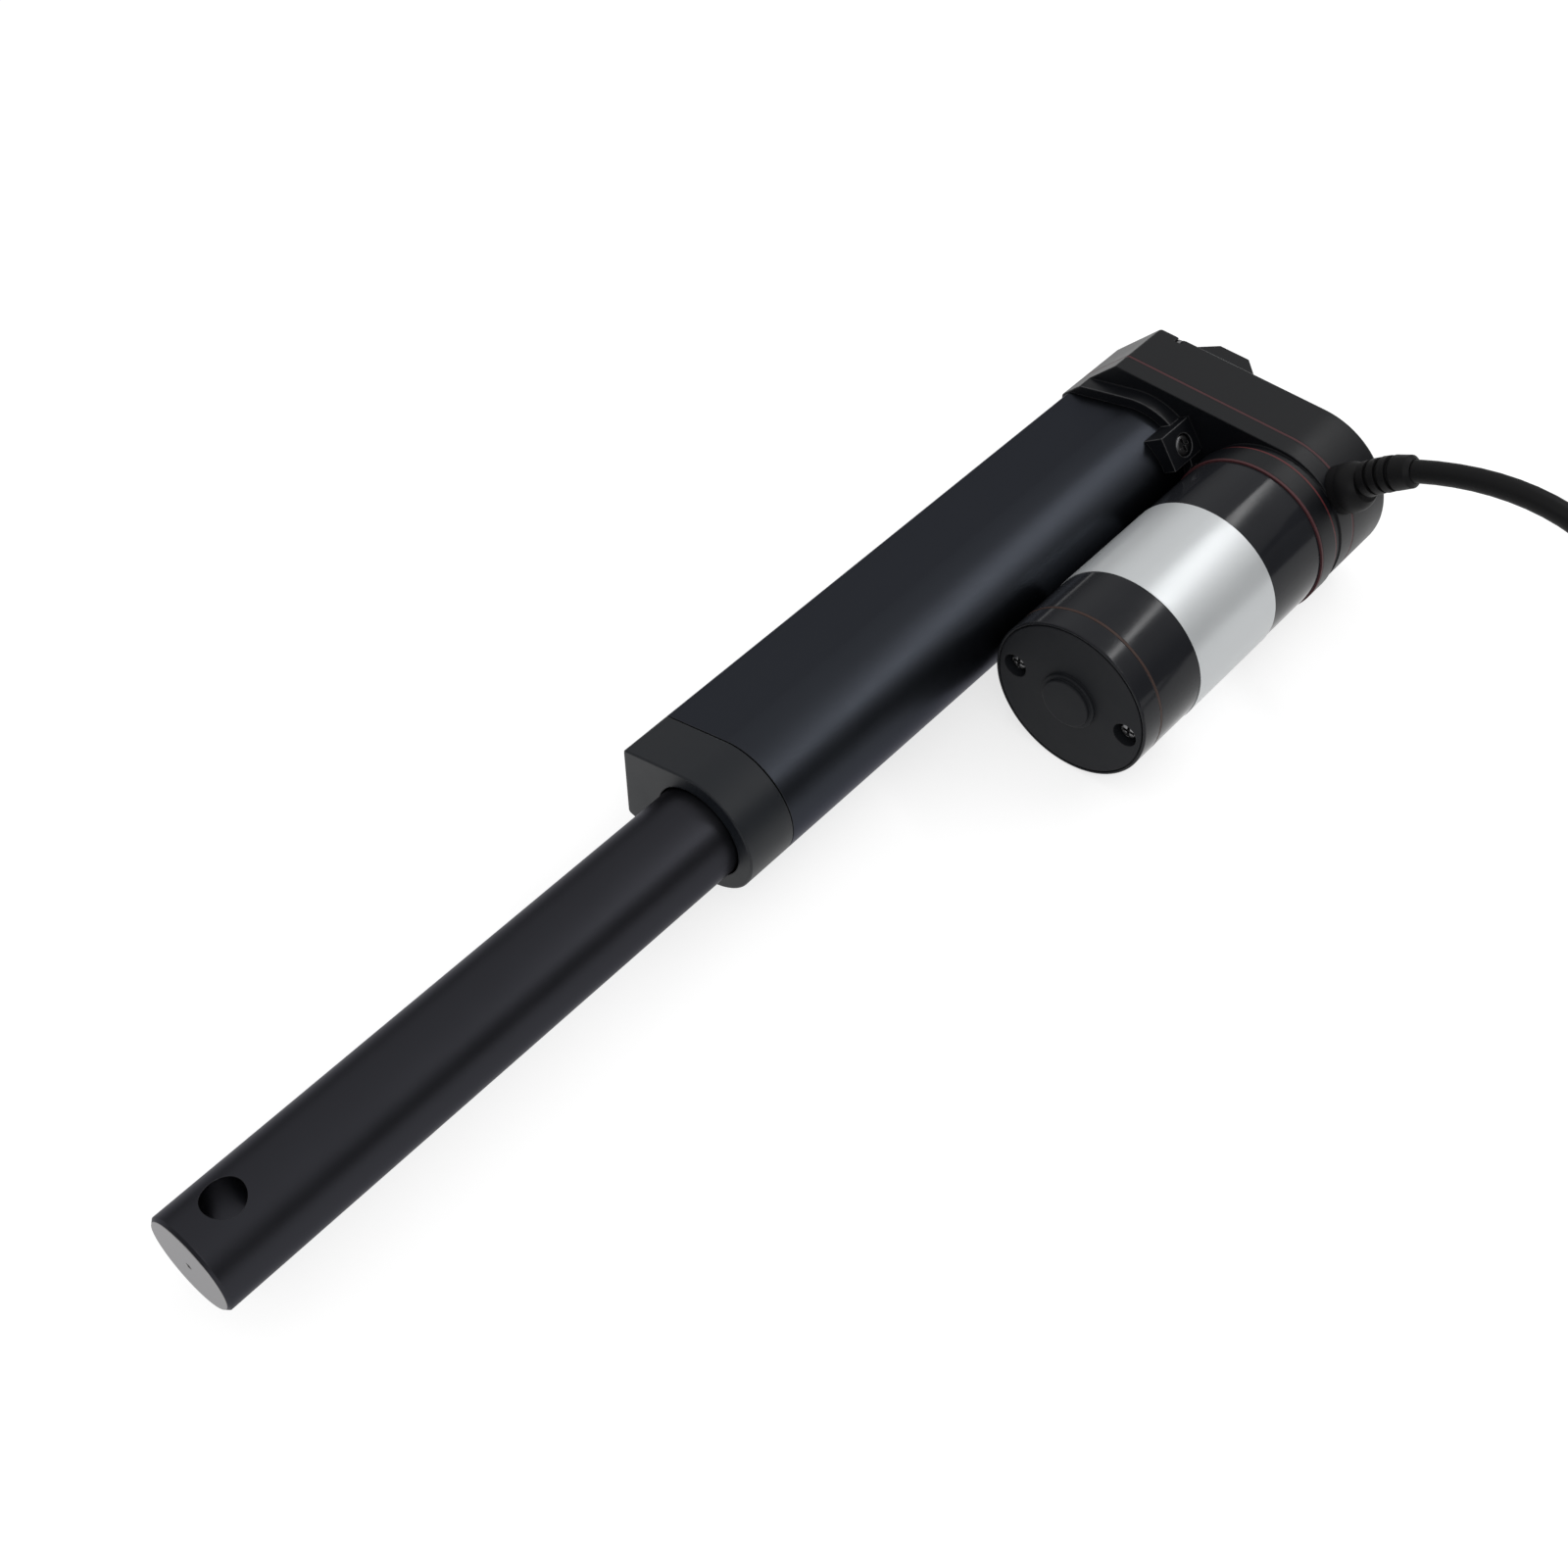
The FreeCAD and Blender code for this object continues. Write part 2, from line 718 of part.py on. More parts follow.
def make_lock_screw():
    """Flat-headed screw that pins the tube in its collar."""
    item = document.addObject("Part::Fuse", "lock_screw")
    item.Base = lock_cylinder(
        "lock_screw_shank", "lock_screw_radius", "tube_radius + running_gap", "lock_head_top")
    item.Tool = lock_cylinder("lock_screw_head", "lock_head_radius", "lock_head_seat", "lock_head_top")
    item.Label = "lock_screw"
    nodes.append(item)
    document.recompute()


def make_gasket():
    body = new_body("gearbox_gasket_body", keep=False)
    pad(body, draw(new_sketch(body, "YZ_Plane", gasket_rear), gearbox_outline()), "gasket_thickness")
    inside = new_sketch(body, "YZ_Plane", gasket_rear, "inside")
    draw(inside, gearbox_outline(size("gearbox_wall")))
    pocket(body, inside, "gasket_thickness")
    drill(body, "screw_holes", gasket_rear, "gasket_thickness", "cover_screw_radius", cover_screw_places)
    cut_gland_seat("gearbox_gasket", body)


def make_cover():
    body = new_body("gearbox_cover_body", keep=False)
    depth = f"{gasket_rear} - cover_rear"
    pad(body, draw(new_sketch(body, "YZ_Plane", "cover_rear"), gearbox_outline()), depth)
    dress(body, "Fillet", edges_at(body, size("cover_rear")), "Radius", "cover_edge_round")
    lug = draw_polygon(new_sketch(body, "XY_Plane", "-1 * lug_half_height", "lug"), [
        ("cover_rear + lug_root", "lug_half_width"),
        ("-1 * lug_end + lug_chamfer", "lug_half_width"),
        ("-1 * lug_end", "lug_half_width - lug_chamfer"),
        ("-1 * lug_end", "-1 * ( lug_half_width - lug_chamfer )"),
        ("-1 * lug_end + lug_chamfer", "-1 * lug_half_width"),
        ("cover_rear + lug_root", "-1 * lug_half_width"),
    ])
    pad(body, lug, "2 * lug_half_height")
    pivot = draw_circle(new_sketch(body, "XY_Plane", "-1 * lug_half_height", "pivot"), "pivot_hole_radius")
    pocket(body, pivot, "2 * lug_half_height")
    cavity = new_sketch(body, "YZ_Plane", cavity_rear, "cavity")
    draw(cavity, gearbox_outline(size("gearbox_wall")))
    pocket(body, cavity, f"{gasket_rear} - ( {cavity_rear} )")
    posts = new_sketch(body, "YZ_Plane", "cover_post_rear", "posts")
    for across, up in cover_screw_places:
        draw_circle(posts, "cover_post_radius", across, up)
    pad(body, posts, f"{gasket_rear} - cover_post_rear")
    drill(body, "screw_holes", "cover_rear", depth, "cover_screw_radius", cover_screw_places)
    drill(body, "screw_heads", "cover_rear", "cover_head_depth", "cover_head_room", cover_screw_places)
    drill(body, "bearing_seat", "rear_bearing_rear", "rear_bearing_front - rear_bearing_rear",
          "rear_bearing_radius", [("0", "0")])
    drill(body, "pin_hole", "idler_pin_rear", f"{cavity_rear} - idler_pin_rear", "idler_pin_radius",
          [(idler_across, "0")])
    cut_gland_seat("gearbox_cover", body)


def make_screw_row(label, places, half_section):
    """Like screws along X that share one node."""
    made = []
    for index, (across, up) in enumerate(places, start=1):
        body = turned(f"{label}_{index}", half_section, across, keep=False)
        bind(body, "Placement.Base.z", up)
        made.append(body)
    group(label, made)


def make_gearbox_screws():
    seat = "cover_rear + cover_head_depth"
    make_screw_row("cover_screws", cover_screw_places, [
        ("cover_rear + cover_head_sink", "0"),
        ("cover_screw_tip", "0"),
        ("cover_screw_tip", "cover_screw_radius"),
        (seat, "cover_screw_radius"),
        (seat, "cover_head_radius"),
        ("cover_rear + cover_head_sink + head_edge", "cover_head_radius"),
        ("cover_rear + cover_head_sink", "cover_head_radius - head_edge"),
    ])
    make_screw_row("motor_mount_screws", mount_screw_places, [
        (f"{cavity_front} - mount_head_height", "0"),
        ("mount_screw_tip", "0"),
        ("mount_screw_tip", "cover_screw_radius"),
        (cavity_front, "cover_screw_radius"),
        (cavity_front, "cover_head_radius"),
        (f"{cavity_front} - mount_head_height", "cover_head_radius"),
    ])


# Gears

dedendum = 1.25
short_addendum = 0.75
full_addendum = 1.0


def involute(angle):
    return math.tan(angle) - angle


def tooth_space(module, teeth, addendum, phase):
    """The gap between two teeth, with involute flanks, centred on the phase angle."""
    pressure = math.radians(size("pressure_angle"))
    pitch = module * teeth / 2
    base = pitch * math.cos(pressure)
    tip = pitch + addendum * module
    root = pitch - dedendum * module
    pitch_half = (math.pi * module / 2 - size("backlash") / 2) / (2 * pitch)

    def flank(radius):
        steep = math.acos(min(1.0, base / radius))
        return math.pi / teeth - pitch_half - involute(pressure) + involute(steep)

    def at(radius, side, angle):
        turn = math.radians(phase) + side * angle
        return spot(radius * math.cos(turn), radius * math.sin(turn))

    start = max(base, root)
    outside = tip + module
    edges = [arc(at(root, -1, flank(start)), at(root, 1, 0), at(root, 1, flank(start)))]
    for side in (-1, 1):
        if root < base:
            edges.append(line(at(root, side, flank(base)), at(base, side, flank(base))))
        middle = (start + tip) / 2
        edges.append(arc(*(at(radius, side, flank(radius)) for radius in (start, middle, tip))))
        edges.append(line(at(tip, side, flank(tip)), at(outside, side, flank(tip))))
    edges.append(arc(at(outside, -1, flank(tip)), at(outside, 1, 0), at(outside, 1, flank(tip))))
    return edges


def cut_teeth(body, name, start, width, module, teeth, addendum, phase):
    """One tooth space cut along X and repeated round the wheel."""
    space = tooth_space(size(module), size(teeth), addendum, phase)
    cut = pocket(body, draw(new_sketch(body, "YZ_Plane", start, f"{name}_space"), space), width)
    repeat_round(body, f"{name}_teeth", cut, teeth)


def make_gear(label, rear, front, module, teeth, addendum, phase, across="0"):
    """A toothed disc about an axis along X."""
    body = new_body(label)
    tip = f"{module} * ( {teeth} / 2 + {addendum} )"
    pad(body, draw_circle(new_sketch(body, "YZ_Plane", rear), tip), f"{front} - {rear}")
    cut_teeth(body, "rim", rear, f"{front} - {rear}", module, teeth, addendum, phase)
    bind(body, "Placement.Base.y", across)
    return body


def make_gears():
    screw_gear = make_gear(
        "screw_gear", "screw_gear_rear", "screw_gear_front", "second_module", "second_wheel_teeth",
        short_addendum, 0)
    web = new_sketch(screw_gear, "YZ_Plane", "screw_gear_front - screw_web_depth", "web")
    draw_circle(web, "screw_web_outer")
    draw_circle(web, "screw_web_inner")
    pocket(screw_gear, web, "screw_web_depth")
    drill(screw_gear, "bore", "screw_gear_rear", "screw_gear_front - screw_gear_rear", "journal_radius",
          [("0", "0")])

    idler = make_gear(
        "idler_gear", "first_wheel_rear", "first_wheel_front", "first_module", "first_wheel_teeth",
        short_addendum, 0, idler_across)
    tip = f"second_module * ( pinion_teeth / 2 + {full_addendum} )"
    disc = draw_circle(new_sketch(idler, "YZ_Plane", "idler_rear", "pinion"), tip)
    width = "first_wheel_rear - idler_rear"
    pad(idler, disc, width)
    half_pitch = 180 / size("pinion_teeth")
    cut_teeth(idler, "pinion", "idler_rear", width, "second_module", "pinion_teeth",
              full_addendum, half_pitch)
    web = new_sketch(idler, "YZ_Plane", "first_wheel_front - idler_web_depth", "web")
    draw_circle(web, "idler_web_outer")
    draw_circle(web, "idler_web_inner")
    pocket(idler, web, "idler_web_depth")
    drill(idler, "bore", "idler_rear", "first_wheel_front - idler_rear", "idler_pin_radius + running_gap",
          [("0", "0")])

    pinion = make_gear(
        "motor_pinion", "pinion_rear", "pinion_front", "first_module", "pinion_teeth",
        full_addendum, half_pitch, "motor_offset")
    drill(pinion, "bore", "pinion_rear", "pinion_front - pinion_rear", "shaft_radius", [("0", "0")])
    ring("idler_pin", "idler_pin_rear", "idler_pin_front", "0", "idler_pin_radius", idler_across)


# Lead screw, nut and rod

def make_screw():
    turned("lead_screw", [
        ("journal_rear", "0"),
        ("screw_front", "0"),
        ("screw_front", "screw_radius - screw_tip_chamfer"),
        ("screw_front - screw_tip_chamfer", "screw_radius"),
        ("thrust_front", "screw_radius"),
        ("thrust_front", "thrust_radius"),
        ("thrust_rear + thrust_gap", "thrust_radius"),
        ("thrust_rear + thrust_gap", "journal_radius"),
        ("journal_rear + journal_chamfer", "journal_radius"),
        ("journal_rear", "journal_radius - journal_chamfer"),
    ])
    ring("screw_circlip", "rear_bearing_front + 2 * thrust_gap", "screw_gear_rear - journal_chamfer",
         "journal_radius", "journal_radius + circlip_height")
    ring("screw_spacer", "screw_gear_front", f"{cavity_front} - thrust_gap", "journal_radius",
         "journal_radius + spacer_height")
    for label, rear, front, radius in (
        ("screw_front_bearing", cavity_front, "thrust_rear", "front_bearing_radius"),
        ("screw_rear_bearing", "rear_bearing_rear", "rear_bearing_front", "rear_bearing_radius"),
    ):
        make_bearing(label, rear, front, radius)


race_share = 0.26


def make_bearing(label, rear, front, radius):
    """A ball bearing with its two shields set back from the races."""
    bore = "journal_radius + running_gap"
    inner = f"{bore} + ( {radius} - ( {bore} ) ) * {race_share}"
    outer = f"{radius} - ( {radius} - ( {bore} ) ) * {race_share}"
    front_shield = f"{front} - shield_depth"
    rear_shield = f"{rear} + shield_depth"
    turned(label, [
        (rear, bore), (front, bore), (front, inner),
        (front_shield, inner), (front_shield, outer), (front, outer),
        (front, radius), (rear, radius), (rear, outer),
        (rear_shield, outer), (rear_shield, inner), (rear, inner),
    ])


def make_nut():
    """Plastic nut with a flange shaped to the tube's channel, so that it can't turn."""
    body = new_body("drive_nut")
    inset = size("tube_radius") - size("nut_radius")
    flange = draw(new_sketch(body, "YZ_Plane", "nut_rear"), tube_outline(inset, size("nut_end")))
    pad(body, flange, "rod_rear - nut_rear")
    neck = draw_circle(new_sketch(body, "YZ_Plane", "rod_rear", "neck"), "nut_neck_radius")
    pad(body, neck, "nut_neck_front - rod_rear")
    drill(body, "bore", "nut_rear", "nut_neck_front - nut_rear", "screw_radius + running_gap", [("0", "0")])


def make_rod():
    body = turned("piston_rod", [
        ("rod_rear", "nut_neck_radius"),
        ("nut_neck_front", "nut_neck_radius"),
        ("nut_neck_front", "rod_bore"),
        ("rod_bore_end", "rod_bore"),
        ("rod_bore_end + rod_drill_tip", "0"),
        ("rod_end - rod_centre_mark", "0"),
        ("rod_end", "rod_centre_mark"),
        ("rod_end", "rod_radius - rod_end_chamfer"),
        ("rod_end - rod_end_chamfer", "rod_radius"),
        ("rod_rear", "rod_radius"),
    ])
    hole = new_sketch(body, "XY_Plane", "-1 * rod_radius", "pin_hole")
    pocket(body, draw_circle(hole, "rod_hole_radius", "rod_hole_station"), "2 * rod_radius")


# Motor

def make_motor_shell():
    across = "motor_offset"
    inner = "motor_radius - can_wall"
    ring("motor_rear_gasket", "mount_ring_front", "flange_rear", "rear_gasket_inner", "rear_gasket_radius",
         across)
    ring("motor_front_gasket", "flange_front", "can_rear", inner, "flange_radius", across)
    ring("motor_end_gasket", "can_front", "end_cap_rear", inner, "motor_radius", across)
    ring("motor_can", "can_rear", "can_front", inner, "motor_radius", across)
    ring("motor_label", "label_rear", "label_front", "motor_radius", "motor_radius + label_thickness",
         across)

    flange = turned("motor_flange", [
        ("flange_nose_rear", "shaft_radius + shaft_room"),
        ("front_bush_rear", "shaft_radius + shaft_room"),
        ("front_bush_rear", "motor_bush_radius"),
        ("front_bush_front", "motor_bush_radius"),
        ("front_bush_front", "shaft_radius + shaft_room"),
        ("flange_recess_rear", "shaft_radius + shaft_room"),
        ("flange_recess_rear", "flange_recess_radius"),
        ("flange_front", "flange_recess_radius"),
        ("flange_front", "flange_radius"),
        ("flange_rear", "flange_radius"),
        ("flange_rear", "flange_nose_radius"),
        ("flange_nose_rear", "flange_nose_radius"),
    ], across)
    drill(flange, "through_holes", "through_hole_rear", "flange_front - through_hole_rear",
          "through_screw_radius", through_screws_in_motor)
    drill(flange, "mount_holes", "flange_rear", "mount_screw_tip - flange_rear", "cover_screw_radius",
          [("0", "mount_screw_height"), ("0", "-1 * mount_screw_height")])

    cap = turned("motor_end_cap", [
        ("end_cap_rear", "motor_bush_radius"),
        ("end_bush_seat", "motor_bush_radius"),
        ("end_bush_seat", "0"),
        ("end_cap_front + 2 * end_boss_step", "0"),
        ("end_cap_front + 2 * end_boss_step", "end_boss_top_radius"),
        ("end_cap_front + end_boss_step", "end_boss_top_radius"),
        ("end_cap_front + end_boss_step", "end_boss_radius"),
        ("end_cap_front", "end_boss_radius"),
        ("end_cap_front", "motor_radius - end_cap_chamfer"),
        ("end_cap_front - end_cap_chamfer", "motor_radius"),
        ("end_cap_rear", "motor_radius"),
    ], across)
    drill(cap, "through_holes", "end_cap_rear", "end_cap_front - end_cap_rear",
          "through_screw_radius", through_screws_in_motor)
    drill(cap, "head_holes", "through_head_seat", "end_cap_front - through_head_seat",
          "through_head_room", through_screws_in_motor)

    bore = "shaft_radius + running_gap"
    ring("motor_front_bush", "front_bush_rear", "front_bush_front", bore, "motor_bush_radius", across)
    ring("motor_end_bush", "end_cap_rear", "end_bush_front", bore, "motor_bush_radius", across)
    make_screw_row("motor_through_screws", through_screw_places, [
        ("through_screw_rear", "0"),
        ("through_head_top", "0"),
        ("through_head_top", "through_head_radius - head_edge"),
        ("through_head_top - head_edge", "through_head_radius"),
        ("through_head_seat", "through_head_radius"),
        ("through_head_seat", "through_screw_radius"),
        ("through_screw_rear", "through_screw_radius"),
    ])


def make_magnets():
    """Two curved magnets above and below the armature, clear of the long screws."""
    half = size("magnet_half_angle")
    made = []
    for index, lift in enumerate((90, -90), start=1):
        body = new_body(f"motor_magnet_{index}", keep=False)
        ways = [spot(math.cos(math.radians(turn)), math.sin(math.radians(turn)))
                for turn in (lift - half, lift, lift + half)]
        far = [way * size("motor_radius - can_wall") for way in ways]
        near = [way * size("magnet_inner") for way in ways]
        edges = [arc(*far), line(far[2], near[2]), arc(*reversed(near)), line(near[0], far[0])]
        pad(body, draw(new_sketch(body, "YZ_Plane", "magnet_rear"), edges), "magnet_front - magnet_rear")
        bind(body, "Placement.Base.y", "motor_offset")
        made.append(body)
    group("motor_magnets", made)


def make_armature():
    across = "motor_offset"
    ring("motor_shaft", "shaft_rear", "shaft_front", "0", "shaft_radius", across)

    core = new_body("armature_core")
    length = "core_front - core_rear"
    pad(core, draw_circle(new_sketch(core, "YZ_Plane", "core_rear"), "core_radius"), length)
    half_slot = [
        ("slot_bottom", "slot_bottom_half"),
        ("slot_wide", "slot_wide_half"),
        ("slot_mouth", "slot_mouth_half"),
        ("slot_outside", "slot_mouth_half"),
    ]
    corners = half_slot + [(out, f"-1 * {half}") for out, half in reversed(half_slot)]
    slot = draw_polygon(new_sketch(core, "YZ_Plane", "core_rear", "slot"), corners)
    repeat_round(core, "slots", pocket(core, slot, length), "core_slots")
    drill(core, "bore", "core_rear", length, "shaft_radius", [("0", "0")])
    bind(core, "Placement.Base.y", across)

    made = []
    ends = (("core_rear", "winding_rear"), ("core_front", "winding_front"))
    for index, (inside, outside) in enumerate(ends, start=1):
        made.append(turned(f"armature_winding_{index}", [
            (inside, "winding_inner"),
            (outside, "winding_end_inner"),
            (outside, "winding_end_radius"),
            (f"( {inside} + {outside} ) / 2", "winding_belly"),
            (inside, "winding_radius"),
        ], across, keep=False))
    group("armature_windings", made)
    ring("commutator", "commutator_rear", "commutator_front", "shaft_radius", "commutator_radius", across)

    card = ring(
        "brush_card", "card_rear", "card_front", "card_bore", "motor_radius - can_wall - fit_gap", across)
    drill(card, "screw_holes", "card_rear", "card_front - card_rear",
          "through_screw_radius + card_screw_room", through_screws_in_motor)
    brushes = []
    for index, lowest in enumerate(("brush_inner", "-1 * brush_inner - brush_height"), start=1):
        brush = document.addObject("Part::Box", f"motor_brush_{index}")
        bind(brush, "Length", "brush_length")
        bind(brush, "Width", "brush_width")
        bind(brush, "Height", "brush_height")
        bind(brush, "Placement.Base.x", "brush_rear")
        bind(brush, "Placement.Base.y", "motor_offset - brush_width / 2")
        bind(brush, "Placement.Base.z", lowest)
        brushes.append(brush)
    group("motor_brushes", brushes)


# Limit switches

def make_limit_switches():
    board = document.addObject("Part::Box", "limit_switch_board")
    board.Label = "limit_switch_board"
    bind(board, "Length", "board_front - board_rear")
    bind(board, "Width", "board_outer - board_inner")
    bind(board, "Height", "2 * board_half_height")
    bind(board, "Placement.Base.x", "board_rear")
    bind(board, "Placement.Base.y", "-1 * board_outer")
    bind(board, "Placement.Base.z", "-1 * board_half_height")
    nodes.append(board)

    made = []
    for index, station in enumerate(
            ("board_rear + switch_margin", "board_front - switch_length - 2 * switch_margin"), start=1):
        case = document.addObject("Part::Box", f"limit_switch_case_{index}")
        bind(case, "Length", "switch_length")
        bind(case, "Width", "board_inner - switch_inner")
        bind(case, "Height", "2 * switch_half_height")
        bind(case, "Placement.Base.x", station)
        bind(case, "Placement.Base.y", "-1 * board_inner")
        bind(case, "Placement.Base.z", "-1 * switch_half_height")
        plunger = document.addObject("Part::Box", f"limit_switch_plunger_{index}")
        bind(plunger, "Length", "plunger_length")
        bind(plunger, "Width", "board_inner - plunger_inner")
        bind(plunger, "Height", "2 * plunger_half_height")
        bind(plunger, "Placement.Base.x", f"{station} + plunger_step")
        bind(plunger, "Placement.Base.y", "-1 * board_inner")
        bind(plunger, "Placement.Base.z", "-1 * plunger_half_height")
        switch = document.addObject("Part::Fuse", f"limit_switch_{index}")
        switch.Base = case
        switch.Tool = plunger
        made.append(switch)
    group("limit_switches", made)


# Cable gland and cord

def gland_place(distance):
    """A point on the axis of the gland's foot, that far from the middle of the round end."""
    lift = math.radians(size("gland_lift"))
    across = size("gearbox_round_middle") + distance * math.cos(lift)
    return FreeCAD.Vector(size("parting"), across, distance * math.sin(lift))


def gland_end():
    return FreeCAD.Vector(size("parting"), size("gland_end_y"), size("gland_end_z"))


def gland_bend():
    """The sleeve's bent axis, from the round end of the gearbox to where the cord comes out."""
    middle = FreeCAD.Vector(size("parting"), size("gland_middle_y"), size("gland_middle_z"))
    return arc(gland_place(size("gearbox_half_height")), middle, gland_end()).toShape()


def gland_disc(label, start, end, first_radius, last_radius):
    """A slightly tapered disc across the sleeve's axis, between two lengths along it."""
    bend = gland_bend()
    place = bend.getParameterByLength(size(named(start)))
    disc = document.addObject("Part::Cone", label)
    bind(disc, "Radius1", first_radius)
    bind(disc, "Radius2", last_radius)
    bind(disc, "Height", f"{end} - ( {start} )")
    turn = FreeCAD.Rotation(FreeCAD.Vector(0, 0, 1), bend.tangentAt(place))
    disc.Placement = FreeCAD.Placement(bend.valueAt(place), turn)
    return disc


def gland_foot():
    """The domed foot, hollowed to sit on the round end of the gearbox."""
    body = new_body("gland_dome", keep=False)
    sketch = new_sketch(body, "XZ_Plane", name="half_section")
    foot, start, end = size("gland_foot"), size("gland_dome_start"), size("gland_dome_end")
    dome, sleeve = size("gland_dome_radius"), size("gland_sleeve_radius")
    halfway = math.sin(math.radians(45))
    shoulder = spot(start + (end - start) * halfway, sleeve + (dome - sleeve) * halfway)
    corners = [spot(end, sleeve), spot(end, 0), spot(foot, 0), spot(foot, dome), spot(start, dome)]
    edges = [line(before, after) for before, after in zip(corners, corners[1:])]
    draw(sketch, edges + [arc(corners[-1], shoulder, corners[0])])
    feature = body.newObject("PartDesign::Revolution", "gland_dome_turned")
    feature.Profile = sketch
    feature.ReferenceAxis = (sketch, ["H_Axis"])
    feature.Angle = 360
    lift = math.radians(size("gland_lift"))
    way = FreeCAD.Vector(0, math.cos(lift), math.sin(lift))
    body.Placement = FreeCAD.Placement(gland_place(0), FreeCAD.Rotation(FreeCAD.Vector(1, 0, 0), way))

    round_end = document.addObject("Part::Cylinder", "gland_saddle")
    bind(round_end, "Radius", "gearbox_half_height")
    bind(round_end, "Height", "2 * gearbox_half_height")
    round_end.Placement.Rotation = FreeCAD.Rotation(FreeCAD.Vector(0, 1, 0), 90)
    bind(round_end, "Placement.Base.x", "parting - gearbox_half_height")
    bind(round_end, "Placement.Base.y", "gearbox_round_middle")
    outside = document.addObject("Part::Cut", "gland_foot")
    outside.Base = body
    outside.Tool = round_end
    return outside


def gland_core():
    """The bent core that shows in the grooves between the ribs."""
    bend = gland_bend()
    middle = bend.Curve.Center

    def way_out(length):
        return (bend.valueAt(bend.getParameterByLength(size(length))) - middle).normalize()

    start = way_out("gland_neck_end - gearbox_half_height")
    end = way_out("gland_cuff_start + gland_cuff_chamfer")
    axis = start.cross(end).normalize()
    core = document.addObject("Part::Torus", "gland_core")
    core.Radius1 = bend.Curve.Radius
    bind(core, "Radius2", "gland_groove_radius")
    core.Angle3 = math.degrees(start.getAngle(end))
    core.Placement = FreeCAD.Placement(middle, FreeCAD.Rotation(start, axis.cross(start), axis, "ZXY"))
    return core


def gland_cuff():
    """The plain end of the sleeve, with a chamfered rim round the cord."""
    bend = gland_bend()
    start = bend.valueAt(bend.getParameterByLength(size("gland_cuff_start")))
    length = (gland_end() - start).Length
    cuff = turned("gland_cuff", [
        ("0", "0"),
        (f"{length}", "0"),
        (f"{length}", "gland_cuff_radius - gland_cuff_chamfer"),
        (f"{length} - gland_cuff_chamfer", "gland_cuff_radius"),
        ("0", "gland_sleeve_radius - rib_taper"),
    ], keep=False)
    cuff.setExpression("Placement.Base.y", None)
    turn = FreeCAD.Rotation(FreeCAD.Vector(1, 0, 0), gland_end() - start)
    cuff.Placement = FreeCAD.Placement(start, turn)
    return cuff


def make_gland():
    """Moulded strain relief: a domed foot on the gearbox, a ribbed sleeve and a plain cuff."""
    neck = gland_cylinder("gland_neck", "gland_neck_radius", "gland_neck_start", "gland_neck_end")
    pieces = [gland_foot(), neck, gland_core(), gland_cuff()]
    for index in range(dimensions["gland_ribs"]):
        start = f"gland_first_rib + {index} * gland_rib_pitch"
        pieces.append(gland_disc(f"gland_rib_{index + 1}", start, f"{start} + gland_rib_width",
                                 "gland_sleeve_radius", "gland_sleeve_radius - rib_taper"))
    whole = document.addObject("Part::MultiFuse", "cable_gland")
    whole.Shapes = pieces
    whole.Label = "cable_gland"
    nodes.append(whole)
    document.recompute()


# The cord's route from the gland over to the coil, chosen by hand: X, Y and Z of its points
cord_route = [
    (21.4, 74.0, 32.4),
    (21.4, 97.0, 33.4),
    (21.4, 117.0, 22.0),
    (21.4, 131.0, 3.0),
    (21.4, 147.0, -12.0),
    (21.4, 164.0, -16.5),
    (21.4, 176.0, -16.5),
]


bend_share = 0.45  # of the shorter run beside a corner, that its arc may take
volume_tolerance = 0.01


def make_cord():
    """The stretch that isn't coiled: straight runs joined by tangent arcs."""
    places = [gland_end()] + [FreeCAD.Vector(*place) for place in cord_route]
    edges = []
    start = places[0]
    for before, here, after in zip(places, places[1:], places[2:]):
        turn = (here - before).getAngle(after - here)
        shorter = min((here - before).Length, (after - here).Length)
        radius = bend_share * shorter / math.tan(turn / 2)
        print(f"cord bend: turn {math.degrees(turn):.0f} degrees, radius {radius:.1f} mm")
        bend = corner_arc(before, here, after, radius)
        edges += [line(start, bend[0]).toShape(), arc(*bend).toShape()]
        start = bend[2]
    edges.append(line(start, places[-1]).toShape())
    path = Part.Wire(edges)
    circle = Part.Circle(places[0], places[1] - places[0], size("cord_radius"))
    tube = path.makePipeShell([Part.Wire([circle.toShape()])], True, False)
    full = math.pi * size("cord_radius") ** 2 * path.Length
    print(f"cord run {path.Length:.1f} mm, volume {tube.Volume:.0f} of {full:.0f}")
    if abs(tube.Volume / full - 1) > volume_tolerance:
        raise RuntimeError("the cord's tube isn't its section along its route")
    item = document.addObject("Part::Feature", "power_cord")
    item.Label = "power_cord"
    item.Shape = tube
    nodes.append(item)

    made = []
    for label, radius in (("coil_outside", "coil_outer"), ("coil_inside", "coil_inner")):
        cylinder = document.addObject("Part::Cylinder", label)
        bind(cylinder, "Radius", radius)
        bind(cylinder, "Height", "coil_height")
        bind(cylinder, "Placement.Base.x", "parting + coil_outer - cord_radius")
        bind(cylinder, "Placement.Base.y", "coil_middle_y")
        bind(cylinder, "Placement.Base.z", "-1 * gearbox_half_height")
        made.append(cylinder)
    coil = document.addObject("Part::Cut", "cord_coil")
    coil.Base, coil.Tool = made
    coil.Label = "cord_coil"
    nodes.append(coil)
    document.recompute()


make_tube()
make_front_cap()
make_bush_and_seal()
make_housing()
make_lock_screw()
make_gasket()
make_cover()
make_gearbox_screws()
make_gears()
make_screw()
make_nut()
make_rod()
make_motor_shell()
make_magnets()
make_armature()
make_limit_switches()
make_gland()
make_cord()
document.recompute()

